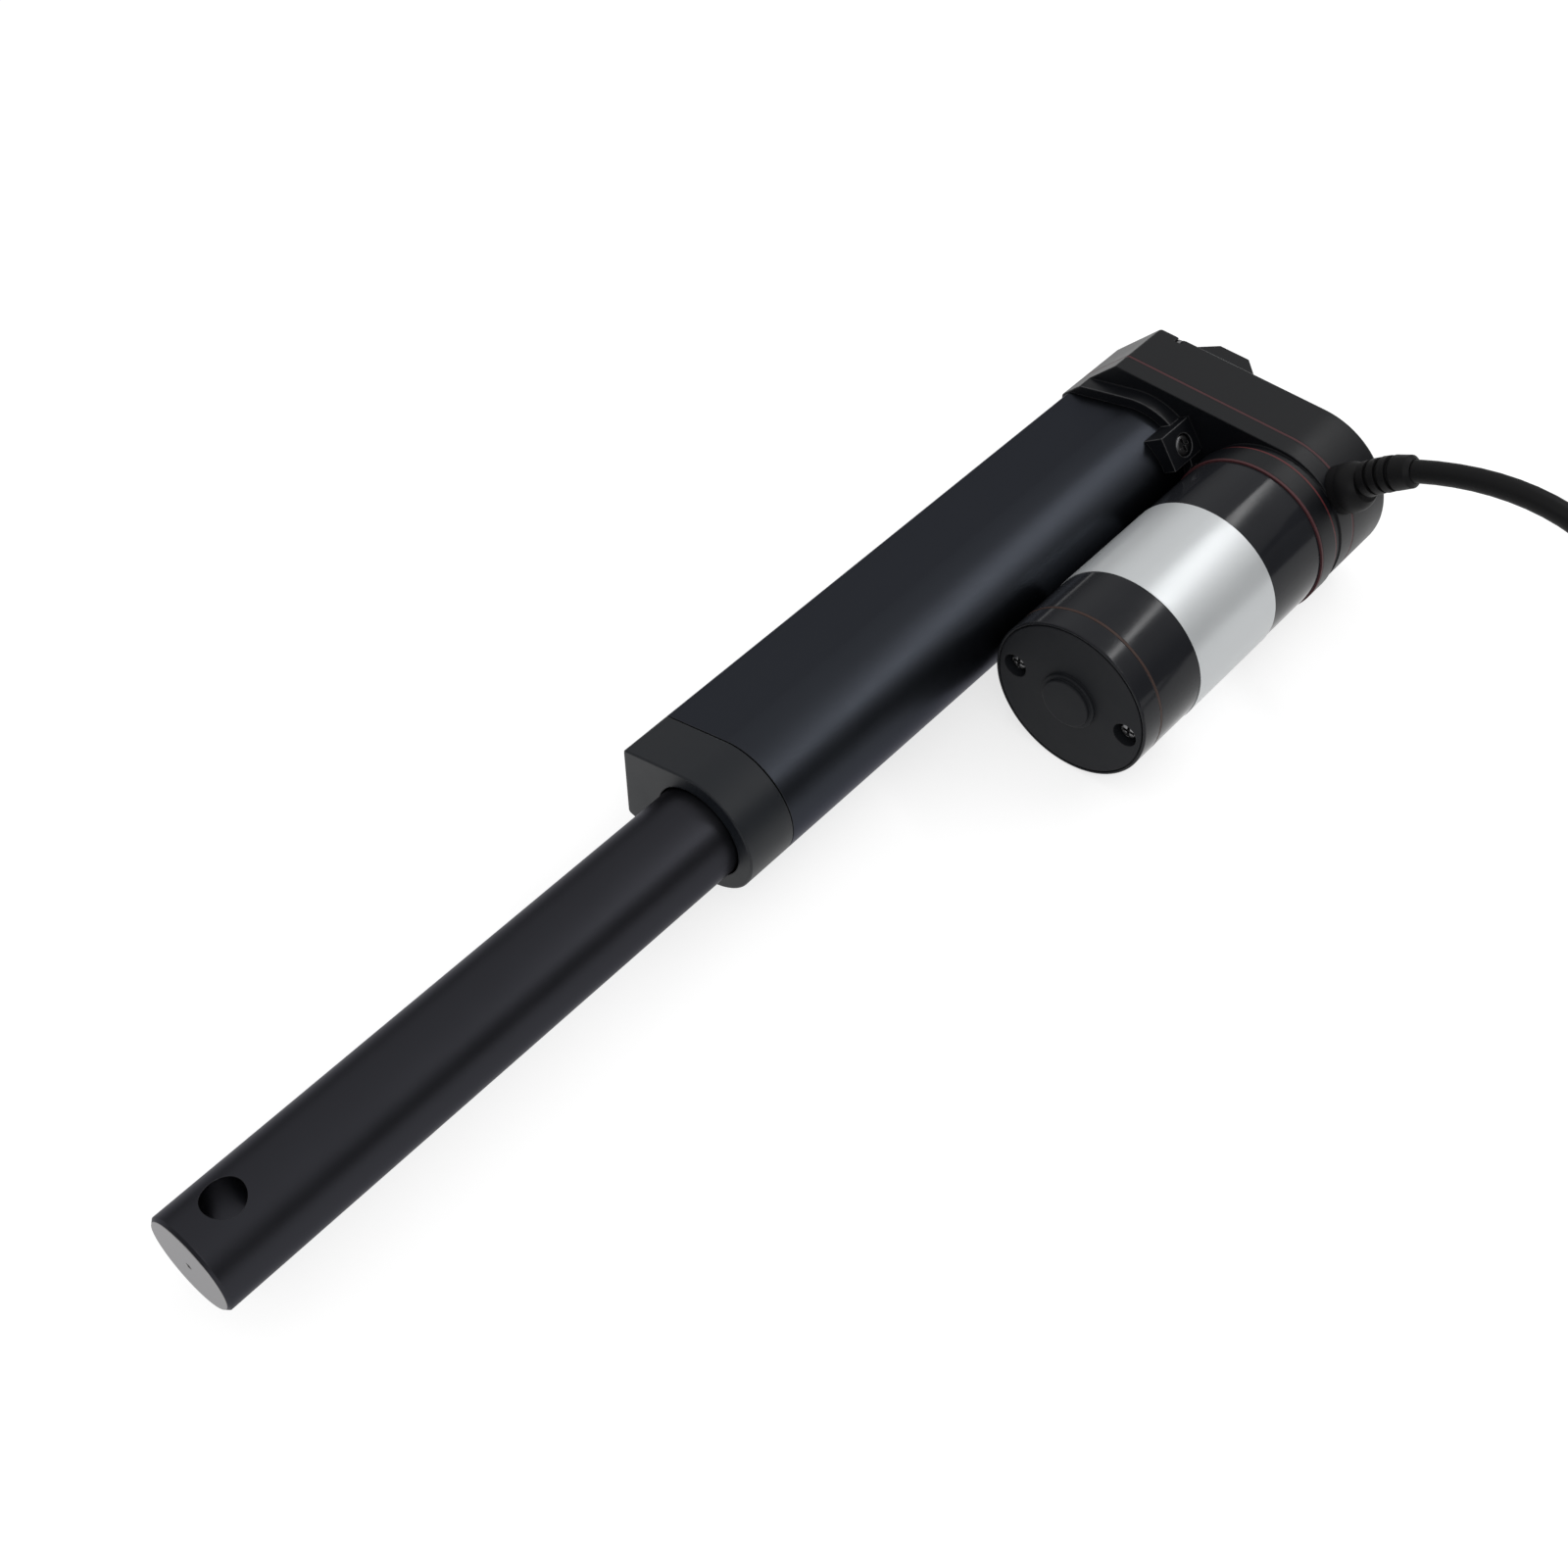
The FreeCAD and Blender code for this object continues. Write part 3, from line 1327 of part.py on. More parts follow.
# Every feature must have been made, and every piece must be a sound solid, before anything is written
for item in document.Objects:
    if "Invalid" in item.State or "Error" in item.State:
        raise RuntimeError(f"{item.Name} failed: {item.State}")
for node in nodes:
    if node.Shape.isNull() or not node.Shape.isValid() or not node.Shape.Solids:
        raise RuntimeError(f"{node.Label} isn't a sound solid")
os.makedirs("parts", exist_ok=True)
for node in nodes:
    node.Shape.exportStep(f"parts/{node.Label}.step")
    print(node.Label, len(node.Shape.Solids), round(node.Shape.Volume, 1))
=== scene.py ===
import math
import bmesh
import bpy
from mathutils import Matrix, Vector


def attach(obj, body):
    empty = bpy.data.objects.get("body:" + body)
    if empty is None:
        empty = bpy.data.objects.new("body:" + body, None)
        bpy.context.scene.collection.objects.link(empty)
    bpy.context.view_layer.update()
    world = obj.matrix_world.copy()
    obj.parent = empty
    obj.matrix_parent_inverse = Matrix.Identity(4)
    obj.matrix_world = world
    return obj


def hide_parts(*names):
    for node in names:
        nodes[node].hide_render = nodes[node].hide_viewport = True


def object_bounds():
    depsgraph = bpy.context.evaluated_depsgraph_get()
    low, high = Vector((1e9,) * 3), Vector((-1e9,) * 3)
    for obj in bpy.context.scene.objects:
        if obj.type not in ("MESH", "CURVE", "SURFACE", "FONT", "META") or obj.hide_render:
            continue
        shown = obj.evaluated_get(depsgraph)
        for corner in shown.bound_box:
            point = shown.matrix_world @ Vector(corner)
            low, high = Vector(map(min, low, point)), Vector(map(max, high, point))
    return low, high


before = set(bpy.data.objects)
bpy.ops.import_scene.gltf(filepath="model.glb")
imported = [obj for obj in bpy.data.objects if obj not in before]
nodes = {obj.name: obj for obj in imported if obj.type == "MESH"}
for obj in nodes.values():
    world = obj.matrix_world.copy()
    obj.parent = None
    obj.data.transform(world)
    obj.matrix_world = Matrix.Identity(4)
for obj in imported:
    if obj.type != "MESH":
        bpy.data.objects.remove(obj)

mm = 0.001
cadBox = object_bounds()
scene = bpy.context.scene
print("frame loaded:", len(nodes), "nodes")


def turnTo(right, up, back):
    # the turn that lays an object's own X, Y and Z along these three
    return Matrix((right, up, back)).transposed().to_4x4()


# camera, where the photograph was taken from
cameraSetup = {
    "place": (0.3573, 0.1828, 0.3136),
    "lookAlong": (-0.48990, -0.43104, -0.75776),
    "up": (-0.56929, -0.50010, 0.65254),
    "lens": 48.46,          # millimetres, as the sensor is
    "sensor": 36,
    "clipStart": 0.01,
}


def addCamera(setup):
    data = bpy.data.cameras.new("photoCamera")
    data.lens = setup["lens"]
    data.sensor_width = setup["sensor"]
    data.clip_start = setup["clipStart"]
    camera = bpy.data.objects.new("photoCamera", data)
    back = -Vector(setup["lookAlong"]).normalized()
    right = Vector(setup["up"]).cross(back).normalized()
    camera.matrix_world = Matrix.Translation(setup["place"]) @ turnTo(right, back.cross(right), back)
    scene.collection.objects.link(camera)
    scene.camera = camera


addCamera(cameraSetup)
print("camera placed")


# small builders
def linkPiece(name, data, body):
    piece = bpy.data.objects.new(name, data)
    scene.collection.objects.link(piece)
    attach(piece, body)
    return piece


def smoothByAngle(mesh, degrees=35):
    limit = math.radians(degrees)
    made = bmesh.new()
    made.from_mesh(mesh)
    for face in made.faces:
        face.smooth = True
    for edge in made.edges:
        edge.smooth = len(edge.link_faces) == 2 and edge.calc_face_angle(0) < limit
    made.to_mesh(mesh)
    made.free()


def lathe(section, sides):
    # a turned shape about X, from stations and radii in millimetres
    made = bmesh.new()
    turns = [2 * math.pi * side / sides for side in range(sides)]
    rings = []
    for station, radius in section:
        ring = []
        for turn in turns if radius > 0 else turns[:1]:
            spot = (station * mm, radius * mm * math.cos(turn), radius * mm * math.sin(turn))
            ring.append(made.verts.new(spot))
        rings.append(ring)
    for first, second in zip(rings, rings[1:]):
        for side in range(sides):
            after = (side + 1) % sides
            corners = [first[side % len(first)], first[after % len(first)],
                       second[after % len(second)], second[side % len(second)]]
            corners = list(dict.fromkeys(corners))      # a ring of one point gives the same corner twice
            if len(corners) > 2:
                made.faces.new(corners)
    bmesh.ops.recalc_face_normals(made, faces=made.faces)
    mesh = bpy.data.meshes.new("turned")
    made.to_mesh(mesh)
    made.free()
    return mesh


def joinMeshes(name, meshes):
    made = bmesh.new()
    for mesh in meshes:
        made.from_mesh(mesh)
    joined = bpy.data.meshes.new(name)
    made.to_mesh(joined)
    made.free()
    return joined


def easeIn(part):
    # from 0 to 1 with a soft start and a soft end
    return part * part * (3 - 2 * part)


# node builders, for shader groups and geometry trees
def newTree(kind, name, inputs, outputs):
    tree = bpy.data.node_groups.new(name, kind)
    for label, socketKind, value in inputs:
        socket = tree.interface.new_socket(label, in_out="INPUT", socket_type=socketKind)
        if value is not None:
            socket.default_value = value
    for label, socketKind in outputs:
        tree.interface.new_socket(label, in_out="OUTPUT", socket_type=socketKind)
    return tree, tree.nodes.new("NodeGroupInput").outputs, tree.nodes.new("NodeGroupOutput").inputs


def addNode(tree, kind, inputs=None, **settings):
    node = tree.nodes.new(kind)
    for name, value in settings.items():
        setattr(node, name, value)
    for key, value in (inputs or {}).items():
        if isinstance(value, bpy.types.NodeSocket):
            tree.links.new(value, node.inputs[key])
        else:
            node.inputs[key].default_value = value
    return node


def addGroup(tree, group, inputs):
    return addNode(tree, "ShaderNodeGroup", inputs, node_tree=group).outputs


def mathNode(tree, operation, first, second=0.0, clamp=False):
    node = addNode(tree, "ShaderNodeMath", {0: first, 1: second}, operation=operation, use_clamp=clamp)
    return node.outputs[0]


def vectorMath(tree, operation, first, second, output):
    node = addNode(tree, "ShaderNodeVectorMath", {0: first, 1: second}, operation=operation)
    return node.outputs[output]


def mixColour(tree, share, first, second):
    # 6 and 7 are the mix node's two colours, and 2 is the mixed one
    return addNode(tree, "ShaderNodeMix", {0: share, 6: first, 7: second}, data_type="RGBA").outputs[2]


# shader groups that the finishes share
def makeEdgeWearAndHighlight():
    # where the surface turns sharply, in uneven patches, and a normal that rounds the edges; the mask carries
    # worn edges, and on the gearbox housing a painted highlight
    tree, given, put = newTree(
        "ShaderNodeTree", "edgeWearAndHighlight",
        [("Radius", "NodeSocketFloat", 0.3 * mm), ("Gain", "NodeSocketFloat", 3.0),
         ("Patch Scale", "NodeSocketFloat", 250.0)],
        [("Mask", "NodeSocketFloat"), ("Normal", "NodeSocketVector")],
    )
    bevel = addNode(tree, "ShaderNodeBevel", {"Radius": given["Radius"]}, samples=6).outputs[0]
    flat = addNode(tree, "ShaderNodeNewGeometry").outputs["Normal"]
    likeness = vectorMath(tree, "DOT_PRODUCT", bevel, flat, "Value")
    bent = mathNode(tree, "SUBTRACT", 1.0, likeness, True)
    place = addNode(tree, "ShaderNodeTexCoord").outputs["Object"]
    patches = addNode(tree, "ShaderNodeTexNoise", {
        "Vector": place, "Scale": given["Patch Scale"], "Detail": 4.0})
    uneven = mathNode(tree, "MULTIPLY", bent, patches.outputs[0])
    mask = mathNode(tree, "MULTIPLY", uneven, given["Gain"], True)
    tree.links.new(mask, put["Mask"])
    tree.links.new(bevel, put["Normal"])
    return tree


def makeFineGrain():
    # a moulded, drawn or painted skin: fine grain with larger uneven patches
    tree, given, put = newTree(
        "ShaderNodeTree", "fineGrain",
        [("Scale", "NodeSocketFloat", 3000.0), ("Stretch", "NodeSocketVector", (1.0, 1.0, 1.0)),
         ("Patch Scale", "NodeSocketFloat", 60.0)],
        [("Grain", "NodeSocketFloat"), ("Patches", "NodeSocketFloat")],
    )
    place = addNode(tree, "ShaderNodeTexCoord").outputs["Object"]
    drawn = vectorMath(tree, "MULTIPLY", place, given["Stretch"], "Vector")
    grain = addNode(tree, "ShaderNodeTexNoise", {
        "Vector": drawn, "Scale": given["Scale"], "Detail": 3.0, "Roughness": 0.6})
    patches = addNode(tree, "ShaderNodeTexNoise", {
        "Vector": place, "Scale": given["Patch Scale"], "Detail": 5.0, "Roughness": 0.65})
    tree.links.new(grain.outputs[0], put["Grain"])
    tree.links.new(patches.outputs[0], put["Patches"])
    return tree


def makePastStation():
    # 1 past a station along X and 0 before it
    tree, given, put = newTree(
        "ShaderNodeTree", "pastStation",
        [("Station", "NodeSocketFloat", 0.0), ("Blur", "NodeSocketFloat", 0.1 * mm)],
        [("Mask", "NodeSocketFloat")],
    )
    place = addNode(tree, "ShaderNodeTexCoord").outputs["Object"]
    split = addNode(tree, "ShaderNodeSeparateXYZ", {0: place})
    past = mathNode(tree, "SUBTRACT", split.outputs["X"], given["Station"])
    tree.links.new(mathNode(tree, "DIVIDE", past, given["Blur"], True), put["Mask"])
    return tree


edgeWearAndHighlight = makeEdgeWearAndHighlight()
fineGrain = makeFineGrain()
pastStation = makePastStation()


# every finish gives its colour and the colour of its worn edges, on the gearbox housing a painted highlight,
# its roughness and how far that spreads, the scale and bump of its grain, and the reach of those edges in
# millimetres; the rest is this unless it says so
plainLook = {
    "metallic": 0.0,
    "specular": 0.5,
    "dark": 0.8,                    # the colour varies between these two shares of itself
    "light": 1.2,
    "stretch": (1.0, 1.0, 1.0),     # of the grain
    "depth": 0.02,                  # of the grain, in millimetres
    "patch": 60.0,                  # scale of the uneven patches
    "patchRange": (0.3, 0.7),       # values of the patches over which the roughness spreads
    "gain": 2.0,                    # how strongly the edge colour shows: wear, and the painted highlight on the housing
}


def newFinish(name, given):
    # a finish may also have a tint, a station past which alone its edges get the painted highlight, and a
    # bare end
    look = {**plainLook, **given}
    material = bpy.data.materials.new(name)
    material.use_nodes = True
    tree = material.node_tree
    shader = tree.nodes["Principled BSDF"]
    wearAndHighlight = addGroup(tree, edgeWearAndHighlight, {"Radius": look["edge"] * mm, "Gain": look["gain"]})
    skin = addGroup(tree, fineGrain, {
        "Scale": look["grain"], "Stretch": look["stretch"], "Patch Scale": look["patch"]})
    darker = (*(part * look["dark"] for part in look["colour"]), 1)
    lighter = (*(min(1, part * look["light"]) for part in look["colour"]), 1)
    shade = mixColour(tree, skin["Patches"], darker, lighter)
    # the edge colour: wear on most finishes, a painted highlight on the gearbox housing
    wornAndLitEdge = wearAndHighlight["Mask"]
    if "paintedHighlightPast" in look:
        past = addGroup(tree, pastStation, {"Station": look["paintedHighlightPast"] * mm})
        wornAndLitEdge = mathNode(tree, "MULTIPLY", wornAndLitEdge, past["Mask"])
    shade = mixColour(tree, wornAndLitEdge, shade, (*look["wornAndLitEdge"], 1))
    low, high = look["patchRange"]
    smoothest, roughest = look["roughness"] - look["spread"], look["roughness"] + look["spread"]
    rough = addNode(tree, "ShaderNodeMapRange", {
        "Value": skin["Patches"], "From Min": low, "From Max": high,
        "To Min": smoothest, "To Max": roughest}).outputs[0]
    if "bare" in look:
        bare = look["bare"]
        cut = addGroup(tree, pastStation, {"Station": bare["station"] * mm, "Blur": bare["blur"] * mm})
        shade = mixColour(tree, cut["Mask"], shade, (*bare["colour"], 1))
        rough = addNode(tree, "ShaderNodeMix", {0: cut["Mask"], 2: rough, 3: bare["roughness"]}).outputs[0]
    bump = addNode(tree, "ShaderNodeBump", {
        "Strength": look["bump"], "Distance": look["depth"] * mm,
        "Height": skin["Grain"], "Normal": wearAndHighlight["Normal"]})
    tree.links.new(shade, shader.inputs["Base Color"])
    tree.links.new(rough, shader.inputs["Roughness"])
    tree.links.new(bump.outputs[0], shader.inputs["Normal"])
    shader.inputs["Metallic"].default_value = look["metallic"]
    shader.inputs["Specular IOR Level"].default_value = look["specular"]
    if "tint" in look:
        shader.inputs["Specular Tint"].default_value = (*look["tint"], 1)
    return material


# finishes, each with the nodes that it is on
finishes = {
    "anodisedTube": {
        "colour": (0.031, 0.034, 0.041), "wornAndLitEdge": (0.09, 0.09, 0.095), "roughness": 0.36, "spread": 0.02,
        "metallic": 1.0, "tint": (0.62, 0.62, 0.66), "dark": 0.95, "light": 1.05,
        "grain": 900.0, "stretch": (0.02, 1.0, 1.0), "bump": 0.08, "edge": 0.3,
        "on": ["outer_tube"],
    },
    "rodCoat": {
        "colour": (0.0315, 0.032, 0.0375), "wornAndLitEdge": (0.10, 0.10, 0.10), "roughness": 0.39, "spread": 0.03,
        "metallic": 1.0, "tint": (0.60, 0.60, 0.62), "dark": 0.94, "light": 1.06,
        "grain": 2200.0, "bump": 0.10, "edge": 0.2, "gain": 1.5,
        "bare": {"station": 297.15, "blur": 0.1, "colour": (0.36, 0.355, 0.35), "roughness": 0.32},
        "on": ["piston_rod"],
    },
    "mouldedCap": {
        "colour": (0.0066, 0.0084, 0.0116), "wornAndLitEdge": (0.02, 0.02, 0.02), "roughness": 0.46, "spread": 0.04,
        "specular": 0.28, "grain": 2600.0, "bump": 0.25, "edge": 0.3,
        "on": ["front_cap"],
    },
    "mouldedCase": {
        "colour": (0.0042, 0.0047, 0.0062), "wornAndLitEdge": (0.018, 0.018, 0.019), "roughness": 0.38, "spread": 0.04,
        "specular": 0.21, "grain": 2400.0, "bump": 0.22, "edge": 0.35,
        "on": ["gearbox_cover", "motor_flange", "limit_switches"],
    },
    # the case's finish with a painted highlight: a light edge colour in place of the light that the lock
    # block's and collar's edges catch
    "mouldedHousing": {
        "colour": (0.0042, 0.0047, 0.0062), "wornAndLitEdge": (0.13, 0.13, 0.135), "roughness": 0.38, "spread": 0.04,
        "specular": 0.21, "grain": 2400.0, "bump": 0.22, "edge": 0.45, "gain": 7.0,
        "paintedHighlightPast": 26.9,       # painted highlight on the edges, only on what stands in front of the gearbox
        "on": ["gearbox_housing"],
    },
    "mattEnd": {
        "colour": (0.0092, 0.0102, 0.0125), "wornAndLitEdge": (0.03, 0.03, 0.03), "roughness": 0.58, "spread": 0.05,
        "specular": 0.16, "grain": 2400.0, "bump": 0.25, "edge": 0.25,
        "on": [],
    },
    "motorPaint": {
        "colour": (0.0146, 0.0154, 0.0182), "wornAndLitEdge": (0.03, 0.03, 0.03), "roughness": 0.13, "spread": 0.02,
        "specular": 0.13, "grain": 700.0, "stretch": (1.0, 0.5, 0.5), "bump": 0.06, "edge": 0.2,
        "on": ["motor_can"],
    },
    "redGasket": {
        "colour": (0.115, 0.020, 0.022), "wornAndLitEdge": (0.14, 0.04, 0.04), "roughness": 0.55, "spread": 0.06,
        "specular": 0.3, "grain": 3000.0, "bump": 0.2, "edge": 0.1,
        "on": ["motor_rear_gasket"],
    },
    # painted shade: darker copies of the red gasket's colour, for the gaskets at the gearbox, at the motor's
    # front and at its end
    "shadedRedGasket": {
        "colour": (0.062, 0.018, 0.021), "wornAndLitEdge": (0.09, 0.03, 0.03), "roughness": 0.55, "spread": 0.06,
        "specular": 0.3, "grain": 3000.0, "bump": 0.2, "edge": 0.1,
        "on": ["gearbox_gasket", "motor_front_gasket"],
    },
    "deepShadedRedGasket": {
        "colour": (0.038, 0.018, 0.013), "wornAndLitEdge": (0.06, 0.03, 0.02), "roughness": 0.55, "spread": 0.06,
        "specular": 0.3, "grain": 3000.0, "bump": 0.2, "edge": 0.1,
        "on": ["motor_end_gasket"],
    },
    "labelFoil": {
        "colour": (0.56, 0.58, 0.59), "wornAndLitEdge": (0.62, 0.63, 0.64), "roughness": 0.30, "spread": 0.03,
        "metallic": 0.3, "dark": 0.97, "light": 1.03,
        "grain": 1500.0, "stretch": (0.1, 1.0, 1.0), "bump": 0.05, "edge": 0.05,
        "on": ["motor_label"],
    },
    "zincScrew": {
        "colour": (0.21, 0.21, 0.215), "wornAndLitEdge": (0.42, 0.42, 0.42), "roughness": 0.33, "spread": 0.08,
        "metallic": 1.0, "grain": 3200.0, "bump": 0.12, "edge": 0.10, "gain": 4.0, "patch": 400.0,
        "on": ["motor_mount_screws"],
    },
    "darkScrew": {
        "colour": (0.11, 0.11, 0.114), "wornAndLitEdge": (0.46, 0.46, 0.46), "roughness": 0.40, "spread": 0.08,
        "metallic": 1.0, "grain": 3200.0, "bump": 0.12, "edge": 0.12, "gain": 4.0, "patch": 400.0,
        "on": [],
    },
    "cordRubber": {
        "colour": (0.0055, 0.0055, 0.006), "wornAndLitEdge": (0.015, 0.015, 0.015), "roughness": 0.50, "spread": 0.05,
        "specular": 0.13, "grain": 2600.0, "bump": 0.25, "edge": 0.2,
        "on": ["rod_wiper_seal", "cable_gland"],
    },
    "groundSteel": {
        "colour": (0.55, 0.55, 0.56), "wornAndLitEdge": (0.7, 0.7, 0.7), "roughness": 0.28, "spread": 0.06,
        "metallic": 1.0, "grain": 1500.0, "stretch": (1.0, 0.05, 0.05), "bump": 0.1, "edge": 0.15,
        "on": ["idler_pin", "screw_front_bearing", "screw_rear_bearing", "screw_circlip", "screw_spacer",
               "motor_shaft"],
    },
    "gearNylon": {
        "colour": (0.62, 0.60, 0.55), "wornAndLitEdge": (0.7, 0.69, 0.66), "roughness": 0.45, "spread": 0.05,
        "grain": 2000.0, "bump": 0.1, "edge": 0.12,
        "on": ["rod_guide_bush", "drive_nut", "screw_gear", "idler_gear", "brush_card"],
    },
    "sinteredBronze": {
        "colour": (0.42, 0.27, 0.12), "wornAndLitEdge": (0.55, 0.38, 0.18), "roughness": 0.42, "spread": 0.08,
        "metallic": 1.0, "grain": 3600.0, "bump": 0.35, "edge": 0.12,
        "on": ["motor_front_bush", "motor_end_bush", "motor_pinion"],
    },
    "ferriteMagnet": {
        "colour": (0.05, 0.05, 0.052), "wornAndLitEdge": (0.1, 0.1, 0.1), "roughness": 0.62, "spread": 0.06,
        "grain": 2600.0, "bump": 0.4, "edge": 0.25,
        "on": ["motor_magnets"],
    },
    "windingCopper": {
        "colour": (0.45, 0.16, 0.06), "wornAndLitEdge": (0.6, 0.28, 0.14), "roughness": 0.34, "spread": 0.06,
        "metallic": 1.0, "grain": 2600.0, "stretch": (0.1, 1.0, 1.0), "bump": 0.5, "edge": 0.15,
        "on": ["armature_windings", "commutator"],
    },
    "brushCarbon": {
        "colour": (0.03, 0.03, 0.03), "wornAndLitEdge": (0.06, 0.06, 0.06), "roughness": 0.55, "spread": 0.06,
        "grain": 3000.0, "bump": 0.3, "edge": 0.15,
        "on": ["motor_brushes"],
    },
    "boardGreen": {
        "colour": (0.02, 0.11, 0.05), "wornAndLitEdge": (0.06, 0.2, 0.1), "roughness": 0.38, "spread": 0.05,
        "grain": 1800.0, "bump": 0.15, "edge": 0.1,
        "on": ["limit_switch_board"],
    },
    "coreSteel": {
        "colour": (0.26, 0.26, 0.27), "wornAndLitEdge": (0.4, 0.4, 0.4), "roughness": 0.45, "spread": 0.06,
        "metallic": 1.0, "grain": 2000.0, "stretch": (2.0, 0.02, 0.02), "bump": 0.6, "edge": 0.15,
        "on": ["armature_core"],
    },
    "leadRed": {
        "colour": (0.32, 0.02, 0.015), "wornAndLitEdge": (0.36, 0.05, 0.04), "roughness": 0.42, "spread": 0.05,
        "grain": 2600.0, "bump": 0.15, "edge": 0.1,
        "on": [],
    },
    "tinnedWire": {
        "colour": (0.60, 0.58, 0.55), "wornAndLitEdge": (0.7, 0.68, 0.65), "roughness": 0.36, "spread": 0.06,
        "metallic": 1.0, "grain": 2500.0, "stretch": (0.3, 1.0, 1.0), "bump": 0.5, "edge": 0.05,
        "on": [],
    },
    "tieNylon": {
        "colour": (0.012, 0.012, 0.013), "wornAndLitEdge": (0.03, 0.03, 0.03), "roughness": 0.36, "spread": 0.05,
        "grain": 1800.0, "bump": 0.15, "edge": 0.15,
        "on": [],
    },
}
finish = {name: newFinish(name, look) for name, look in finishes.items()}
for name, look in finishes.items():
    for member in look["on"]:
        nodes[member].data.materials.clear()
        nodes[member].data.materials.append(finish[name])
print("finishes made:", len(finish))


# power cord: the route's points are those of the solid tube, then the coil's turns
cordShape = {
    "exit": (21.4, 60.9, 25.9),
    "route": [
        (21.4, 74.0, 32.4), (21.4, 97.0, 33.4), (21.4, 117.0, 22.0), (21.4, 131.0, 3.0),
        (21.4, 147.0, -12.0), (21.4, 164.0, -16.5), (21.4, 176.0, -16.5),
    ],
    "diameter": 5.0,
    "coilMiddle": (53.4, 178.0),
    "turns": [(32.0, -16.5), (27.0, -16.5), (27.0, -11.5), (32.0, -11.5)],      # radius and height
    "pointsPerTurn": 24,
    "easeFrom": 0.7,        # share of a turn after which it goes over to the next
    "shortBy": 7,           # points that the last turn stops short of a full one
    "length": 0.82,         # metres
}


def coilAngle(shape, step):
    # the first point is half a step past the side where the cord arrives
    return math.pi - 2 * math.pi * (step + 0.5) / shape["pointsPerTurn"]


def coilPlace(shape, angle, radius, height):
    middle = shape["coilMiddle"]
    return (middle[0] + radius * math.cos(angle), middle[1] + radius * math.sin(angle), height)


def coilPoints(shape):
    # clockwise from the side where the cord arrives, each turn easing into the next
    count = shape["pointsPerTurn"]
    grown = 1 / math.cos(math.pi / count)       # because the line runs inside its points
    turns = shape["turns"]
    last = len(turns) - 1
    points = []
    for index, (radius, height) in enumerate(turns):
        nextRadius, nextHeight = turns[min(index + 1, last)]
        for step in range(count - (shape["shortBy"] if index == last else 0)):
            ease = easeIn(max(0.0, (step / count - shape["easeFrom"]) / (1 - shape["easeFrom"])))
            out = (radius + (nextRadius - radius) * ease) * grown
            up = height + (nextHeight - height) * ease
            points.append(coilPlace(shape, coilAngle(shape, step), out, up))
    return points


def roundCurve(name, places, diameter, material):
    data = bpy.data.curves.new(name, "CURVE")
    data.dimensions = "3D"
    data.bevel_depth = diameter / 2 * mm
    data.bevel_resolution = 6
    data.resolution_u = 6
    data.use_fill_caps = True
    spline = data.splines.new("NURBS")
    spline.points.add(len(places) - 1)
    for point, place in zip(spline.points, places):
        point.co = (*(Vector(place) * mm), 1)
    spline.order_u = 3                  # after the points are added, or the runs are straight
    spline.use_endpoint_u = True
    data.materials.append(finish[material])
    return data


cordPlaces = [cordShape["exit"], *cordShape["route"], *coilPoints(cordShape)]
cordLine = roundCurve("powerCord", cordPlaces, cordShape["diameter"], "cordRubber")
powerCord = linkPiece("powerCord", cordLine, "actuator_body")
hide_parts("power_cord", "cord_coil")
print("cord laid")


# the two cores that come out of the cord's stripped end
leadShape = {
    "diameter": 1.7,
    "tipDiameter": 1.0,
    "stepAngle": 0.11,
    "inside": 0.3,          # steps by which a core starts inside the cord
    "points": 7,
    "tipPoints": 2,
    "tipInside": 2,         # points of the tinned tip that are inside the core's jacket
    "apart": 0.95,          # each core's distance from the cord's middle line, where it comes out
    "settled": 5,           # points after which a core lies at its last distance and height
    "cores": [
        {"name": "leadRed", "finish": "leadRed", "slot": "red_gasket",
         "side": -1, "last": (31.7, -13.0)},
        {"name": "leadBlack", "finish": "cordRubber", "slot": "black_rubber",
         "side": 1, "last": (34.0, -13.7)},
    ],
}


def makeLeads(shape, cord):
    radius, height = cord["turns"][-1]
    start = coilAngle(cord, cord["pointsPerTurn"] - cord["shortBy"] - 1)
    made = []
    for core in shape["cores"]:
        name = core["name"]
        first = Vector((radius + core["side"] * shape["apart"], height))
        places = []
        for step in range(shape["points"] + shape["tipPoints"]):
            out, up = first.lerp(Vector(core["last"]), easeIn(min(1.0, step / shape["settled"])))
            angle = start - shape["stepAngle"] * (step - shape["inside"])
            places.append(coilPlace(cord, angle, out, up))
        jacketPlaces = places[:shape["points"]]
        tipPlaces = places[shape["points"] - shape["tipInside"]:]
        jacket = roundCurve(name, jacketPlaces, shape["diameter"], core["finish"])
        tip = roundCurve(name + "Tip", tipPlaces, shape["tipDiameter"], "tinnedWire")
        made.append(linkPiece(name, jacket, "actuator_body"))
        made.append(linkPiece(name + "Tip", tip, "actuator_body"))
    return made


leads = makeLeads(leadShape, cordShape)
print("leads stripped")


# geometry node trees: sizes are in millimetres, and their labels are the tree's inputs
def newShapeTree(name, sizes, more=()):
    inputs = [("Geometry", "NodeSocketGeometry", None)]
    inputs += [(label, "NodeSocketFloat", size * mm) for label, size in sizes.items()]
    inputs += [*more, ("Finish", "NodeSocketMaterial", None)]
    return newTree("GeometryNodeTree", name, inputs, [("Geometry", "NodeSocketGeometry")])


def sizeValues(sizes, finishName):
    values = {label: size * mm for label, size in sizes.items()}
    values["Finish"] = finish[finishName]
    return values


